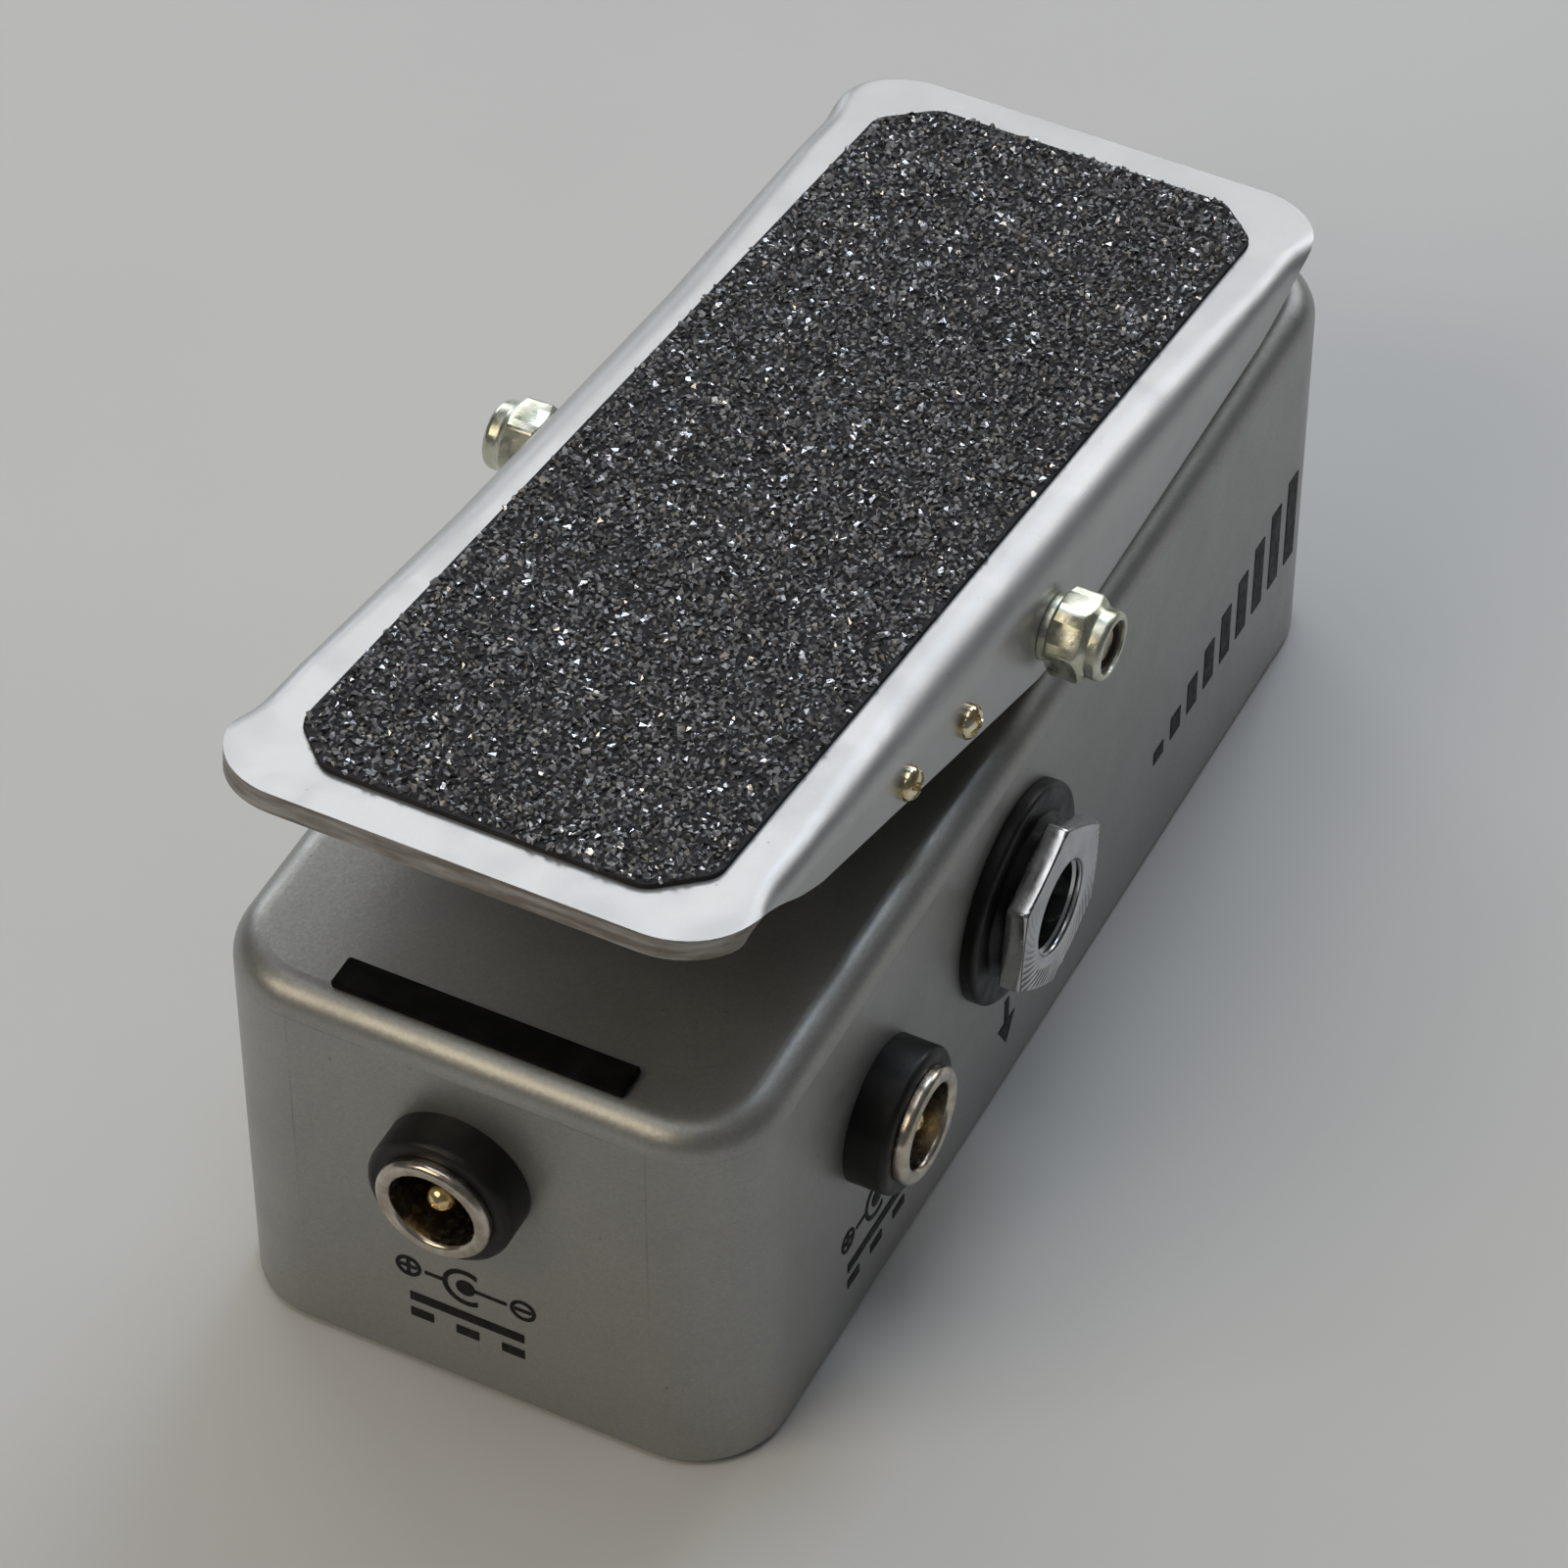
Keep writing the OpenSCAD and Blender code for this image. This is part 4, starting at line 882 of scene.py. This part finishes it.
def make_signal_jack(which, place):
    """A 6.35 mm socket: black ring, hexagon nut with a grooved face, and the threaded tube."""
    ring = rounded([
        (THREAD_R + 0.02, 0, 0), (RING_R, 0, 0.1), (RING_R, RING_T, 0.38),
        (HUB_R + 0.5, RING_T, 0.3), (HUB_R, HUB_T - 0.15, 0.12), (HUB_R - 0.1, HUB_T, 0.05),
        (THREAD_R + 0.02, HUB_T, 0),
    ])
    points, faces = turned(ring, 128)
    points = placed(points, place)
    piece(f"{which}_ring_turned", points, faces, "case", "jack_black", [f"{which}_ring"])

    flat = JACK_NUT_CORNER * math.cos(math.pi / 6)
    top, low = HUB_T + JACK_NUT_T, HUB_T
    bore, lip = JACK_BORE_R + 0.1, 0.45
    inner = bore + 0.42
    outer = flat - 0.2
    nut = [
        (bore, top - lip, 0, 0, 0), (bore, top - 0.28, 0, 0, 0), (bore + 0.08, top - 0.1, 0, 0, 0),
        (bore + 0.24, top - 0.01, 0, 0, 0),
    ]
    nut += [
        (inner + (outer - inner) * t, top, t * 0.96, 0.05 * t, GROOVE_DEPTH * min(1.0, 3 * t))
        for t in np.linspace(0, 1, 30)
    ]
    nut += [
        (flat - 0.08, top - 0.03, 1, 0.14, 0.02), (flat - 0.015, top - 0.1, 1, 0.3, 0),
        (flat, top - 0.2, 1, 0.42, 0), (flat, low + 0.14, 1, 0, 0),
        (flat - 0.05, low + 0.04, 1, 0, 0), (flat - 0.14, low, 1, 0, 0), (THREAD_R, low, 0, 0, 0),
        (THREAD_R, top - lip, 0, 0, 0),
    ]
    points, faces = swept(
        nut, 12 * GROOVES, flat, JACK_NUT_CORNER - 0.06, GROOVES, GROOVE_TWIST, JACK_NUT_TURN,
        GROOVES_AT,
    )
    points = placed(points, place)
    nodes = [f"{which}_nut"]
    piece(f"{which}_nut_cut", points, faces, "case", "jack_nickel", nodes, [NUT_FACE], 42)

    shown = top - lip - 0.05
    end = -WALL - TUBE_L
    tube = rounded([
        (JACK_BORE_R, shown - 0.25, 0), (JACK_BORE_R + 0.2, shown, 0), (THREAD_R - 0.25, shown, 0),
        (THREAD_R - 0.02, shown - 0.25, 0), (THREAD_R - 0.02, -WALL, 0), (TUBE_R, -WALL, 0),
        (TUBE_R, end, 0.2), (JACK_BORE_R, end, 0.15),
    ])
    points, faces = turned(tube, 96)
    points = placed(points, place)
    piece(f"{which}_tube", points, faces, "case", "jack_nickel", [f"{which}_bushing"])


# Power jacks, outwards from the wall: collar and barrel, sleeve with a wider rim, and the pin
COLLAR_R, COLLAR_T, BARREL_R = 5.15, 3.0, 4.4
SLEEVE_R, SLEEVE_BORE, RIM_R, RIM_T = 3.6, 3.0, 4.1, 0.9
DC_BACK, DC_FLOOR, PIN_R, PIN_L = -12.0, -8.5, 1.05, 10.6


def make_power_jack(which, place):
    """A round power socket: black collar, bright rim and a split pin down its middle."""
    inside = SLEEVE_R + 0.02
    body = rounded([
        (inside, DC_FLOOR, 0), (inside, COLLAR_T - 0.02, 0.05), (COLLAR_R, COLLAR_T, 0.55),
        (COLLAR_R, 0, 0.05), (BARREL_R, 0, 0), (BARREL_R, DC_BACK, 0.4), (1.2, DC_BACK, 0),
        (1.2, DC_FLOOR, 0),
    ], 5)
    points, faces = turned(body, 128)
    points = placed(points, place)
    piece(f"{which}_collar", points, faces, "case", "jack_black", [f"{which}_body"])

    top = COLLAR_T + RIM_T
    sleeve = rounded([
        (SLEEVE_BORE, DC_FLOOR + 0.2, 0), (SLEEVE_BORE, top, 0.42), (RIM_R, top, 0.5),
        (RIM_R, COLLAR_T, 0.05), (SLEEVE_R, COLLAR_T, 0), (SLEEVE_R, DC_FLOOR + 0.2, 0),
    ], 6)
    points, faces = turned(sleeve, 128)
    points = placed(points, place)
    nodes = [f"{which}_sleeve"]
    piece(f"{which}_rim", points, faces, "case", "jack_nickel", nodes, [WARM_NICKEL])

    tip = DC_FLOOR + PIN_L + PIN_R
    crown = PIN_R * 0.95
    pin = [(0.001, DC_FLOOR - 0.3), (PIN_R, DC_FLOOR - 0.3), (PIN_R, DC_FLOOR + PIN_L - 0.4)]
    pin += [
        (PIN_R * math.cos(a) * 0.96, tip - crown + crown * math.sin(a))
        for a in np.linspace(0.1, 1.1, 6)
    ]
    pin += [(0.32, tip - 0.03), (0.26, tip - 0.2), (0.001, tip - 0.25)]
    points, faces = turned(pin, 48)
    points = placed(points, place)
    piece(f"{which}_split_pin", points, faces, "case", "pin_gold", [f"{which}_pin"])


# ---- axle hardware ----

AXLE_R = 1.5
WASHER_R, WASHER_T = 2.35, 0.6
# The lock nuts: where they seat, their length and that of the hexagon, its corner radius, the
# round collar's radius, and the depth of the nylon insert
NUT_X, NUT_L, HEX_L = SKIRT_X + WASHER_T, 3.9, 2.7
NUT_CORNER, NUT_COLLAR_R, INSERT_L = 3.1, 2.45, 1.1
# Side of the treadle and turn of the nut on it
NUT_TURNS = ((1, math.radians(28.8)), (-1, 0.35))


def make_lock_nuts():
    """Lock nuts with a round collar that holds a nylon insert, and the washers under them."""
    flat = NUT_CORNER * math.cos(math.pi / 6)
    seat = flat - 0.12
    collar, mouth = NUT_COLLAR_R, NUT_COLLAR_R - 0.6
    nut = [
        (AXLE_R + 0.03, 0.12, 0, 0, 0), (AXLE_R + 0.2, 0, 0, 0, 0), (seat - 0.1, 0, 0, 0, 0),
        (seat, 0.03, 0.1, 0, 0), (flat - 0.04, 0.1, 0.8, -0.5, 0), (flat, 0.17, 1, -0.55, 0),
        (flat, HEX_L - 0.3, 1, 0.62, 0), (flat - 0.04, HEX_L - 0.2, 0.9, 0.6, 0),
        (flat - 0.12, HEX_L - 0.1, 0.5, 0.3, 0), (collar + 0.1, HEX_L - 0.02, 0, 0, 0),
        (collar + 0.02, HEX_L + 0.08, 0, 0, 0), (collar, HEX_L + 0.2, 0, 0, 0),
        (collar, NUT_L - 0.42, 0, 0, 0), (collar - 0.07, NUT_L - 0.2, 0, 0, 0),
        (collar - 0.22, NUT_L - 0.05, 0, 0, 0), (collar - 0.42, NUT_L, 0, 0, 0),
        (collar - 0.55, NUT_L - 0.04, 0, 0, 0), (mouth, NUT_L - 0.2, 0, 0, 0),
        (mouth, NUT_L - INSERT_L, 0, 0, 0), (AXLE_R + 0.03, NUT_L - INSERT_L, 0, 0, 0),
    ]
    shape = swept(nut, 192, flat, NUT_CORNER - 0.05)
    insert = turned(rounded([
        (AXLE_R + 0.01, NUT_L - INSERT_L + 0.05, 0), (mouth - 0.01, NUT_L - INSERT_L + 0.05, 0),
        (mouth - 0.01, NUT_L - 0.25, 0.05), (AXLE_R + 0.01, NUT_L - 0.3, 0.12),
    ]), 64)
    washer = turned(rounded([
        (AXLE_R + 0.1, 0, 0.03), (WASHER_R, 0, 0.1), (WASHER_R, WASHER_T, 0.1),
        (AXLE_R + 0.1, WASHER_T, 0.03),
    ]), 96)
    nuts, inserts, washers = [], [], []
    for side, turn in NUT_TURNS:
        out = on_wall((side * NUT_X, 0, 0), (side, 0, 0), (0, 0, 1))
        seat_at = on_wall((side * SKIRT_X, 0, 0), (side, 0, 0), (0, 0, 1))
        spun = ON_TREADLE @ out @ Matrix.Rotation(turn, 4, "Z")
        nuts.append((placed(shape[0], spun), shape[1]))
        inserts.append((placed(insert[0], ON_TREADLE @ out), insert[1]))
        washers.append((placed(washer[0], ON_TREADLE @ seat_at), washer[1]))
    piece("lock_nuts", *joined(nuts), "treadle", "nut_zinc", ["axle_nuts"], crease=38)
    piece("lock_nut_inserts", *joined(inserts), "treadle", "nut_zinc", looks=[NYLON])
    piece("washers_turned", *joined(washers), "treadle", "nut_zinc", ["axle_washers"])


def make_axle():
    """The axle: a stud with plain threads, rings rather than a helix, at both ends."""
    end = box_mm("axle")[1].x - 0.15
    pitch, depth = 0.5, 0.13
    thread_from = 15.5
    half = [(0.001, end), (AXLE_R - 0.42, end), (AXLE_R - 0.3, end - 0.08)]
    x = end - 0.2
    while x > thread_from:
        half += [(AXLE_R - 0.02, x), (AXLE_R - depth, x - pitch / 2)]
        x -= pitch
    half += [(AXLE_R, thread_from - 0.4)]
    profile = half + [(r, -x) for r, x in reversed(half)]
    points, faces = turned(profile, 48)
    place = ON_TREADLE @ on_wall((0, 0, 0), (1, 0, 0), (0, 1, 0))
    piece("axle_stud", placed(points, place), faces, "treadle", "axle_steel", ["axle"], crease=25)


# The rack's screws: place along the treadle, height over the axle, turn of the recess
RACK_SCREWS = ((-13.1, 0.9, 0.3), (-22.1, 2.0, 0.95))


def make_rack_screws():
    """Small domed screws in the right skirt."""
    head_r, head_t, shank_r, shank_l = 1.2, 1.05, 0.6, 3.5
    shank = turned([(0.001, 0.02), (shank_r, 0.02), (shank_r, -shank_l), (0.001, -shank_l)], 32)
    head = dome(head_r, head_t, 0.6)
    made = []
    for v, h, turn in RACK_SCREWS:
        place = ON_TREADLE @ on_wall((SKIRT_X, v, h), (1, 0, 0), (0, 1, 0))
        place = place @ Matrix.Rotation(turn, 4, "Z")
        made += [(placed(head[0], place), head[1]), (placed(shank[0], place), shank[1])]
    piece("rack_screws_domed", *joined(made), "treadle", "rack_screw_brass", ["rack_screws"], crease=30)


# ---- floor, light and camera ----


def make_floor():
    """A wide pale sheet that curves up far away, so that no view meets its edge. In metres."""
    level, curl, top, steps = 2.2, 1.2, 4.0, 96
    rings = [(r, 0.0) for r in (0.0, 0.3, 0.8, 1.5, level)]
    rings += [
        (level + curl * math.sin(a), curl * (1 - math.cos(a)))
        for a in np.linspace(0.15, math.pi / 2, 12)
    ]
    rings += [(level + curl, top)]
    around = np.linspace(0, 2 * math.pi, steps, endpoint=False)
    points = [(r * math.cos(t), r * math.sin(t), z) for r, z in rings for t in around]
    faces = []
    for i in range(len(rings) - 1):
        for k in range(steps):
            n = (k + 1) % steps
            faces.append([i * steps + k, i * steps + n, (i + 1) * steps + n, (i + 1) * steps + k])
    mesh = bpy.data.meshes.new("floor")
    mesh.from_pydata(points, [], faces)
    smooth(mesh)
    look = Look("floor_paper", (0.66, 0.66, 0.655), roughness=0.9, Specular_IOR_Level=0.15)
    cloud = look.remap(look.noise(60, 3), 0.3, 0.7)
    look.color(look.blend(cloud, (0.65, 0.65, 0.645), (0.68, 0.68, 0.675)))
    mesh.materials.append(look.material)
    floor = in_scene("floor", mesh)


# Softboxes: direction, distance, width and height in metres, watts, colour
LIGHTS = {
    "window_behind": ((-0.33, 0.84, 0.55), 1.3, 1.8, 0.36, 5.8, (0.97, 0.975, 0.985)),
    "window_end": ((0.27, 0.85, 0.46), 1.3, 0.5, 0.36, 0.85, (0.97, 0.975, 0.985)),
    "overhead": ((-0.12, -0.05, 1.0), 1.3, 0.8, 0.8, 2.8, (1.0, 1.0, 1.0)),
    "warm_front": ((-0.35, -0.60, 0.62), 1.2, 0.75, 0.55, 3.7, (1.0, 0.87, 0.64)),
    "cool_high": ((0.0, 0.62, 0.78), 1.3, 0.4, 0.3, 2.9, (0.72, 0.85, 1.0)),
    "left_glow": ((-0.73, 0.60, 0.24), 1.3, 0.5, 0.4, 1.3, (0.85, 0.92, 1.0)),
}


def make_softbox(name, direction, distance, width, height, watts, color):
    """An area light that faces the pedal from a direction."""
    data = bpy.data.lights.new(name, "AREA")
    data.shape = "RECTANGLE"
    data.size, data.size_y = width, height
    data.energy = watts
    data.color = color
    obj = in_scene(name, data)
    away = Vector(direction).normalized()
    obj.location = away * distance + Vector((0, 0, 0.02))
    obj.rotation_mode = "QUATERNION"
    obj.rotation_quaternion = away.to_track_quat("Z", "Y")
    obj.visible_camera = False


# The camera: the point it looks at and its distance in millimetres, the side and height that it
# looks from, lens and sensor width
AIM = Vector((2.0, -6.35, 20.6))
AZIMUTH, ELEVATION = math.radians(26.78), math.radians(46.1)
DISTANCE, LENS, SENSOR = 435.25, 149.3, 36.0


def make_camera():
    data = bpy.data.cameras.new("camera")
    data.sensor_width = SENSOR
    data.lens = LENS
    data.clip_start, data.clip_end = 0.02, 20
    camera = in_scene("camera", data)
    level = math.cos(ELEVATION)
    back = Vector((math.sin(AZIMUTH) * level, -math.cos(AZIMUTH) * level, math.sin(ELEVATION)))
    camera.location = (AIM + back * DISTANCE) * MM
    camera.rotation_mode = "QUATERNION"
    camera.rotation_quaternion = (-back).to_track_quat("-Z", "Y")
    bpy.context.scene.camera = camera


def make_world():
    world = bpy.data.worlds.new("room")
    world.use_nodes = True
    background = world.node_tree.nodes["Background"]
    background.inputs["Color"].default_value = (0.9, 0.93, 1.0, 1)
    background.inputs["Strength"].default_value = 0.16
    bpy.context.scene.world = world


make_camera()
make_world()
make_floor()
for light_name, light in LIGHTS.items():
    make_softbox(light_name, *light)
bpy.context.scene.view_settings.view_transform = "Standard"

make_treadle()
make_grip()
make_signal_jack("output", AT_OUTPUT)
make_signal_jack("input", AT_INPUT)
make_power_jack("dc_in", AT_DC_IN)
make_power_jack("dc_out", AT_DC_OUT)
make_lock_nuts()
make_axle()
make_rack_screws()

# Plain rubber parts: the body that each is on and the rounding of its edges
for cad_node, owner, edge in (
    ("near_strip", "case", 0.14), ("far_strip", "case", 0.14), ("treadle_stops", "treadle", 0.2),
    ("sole", "case", 0.15),
):
    softened(cad_node, owner, edge)
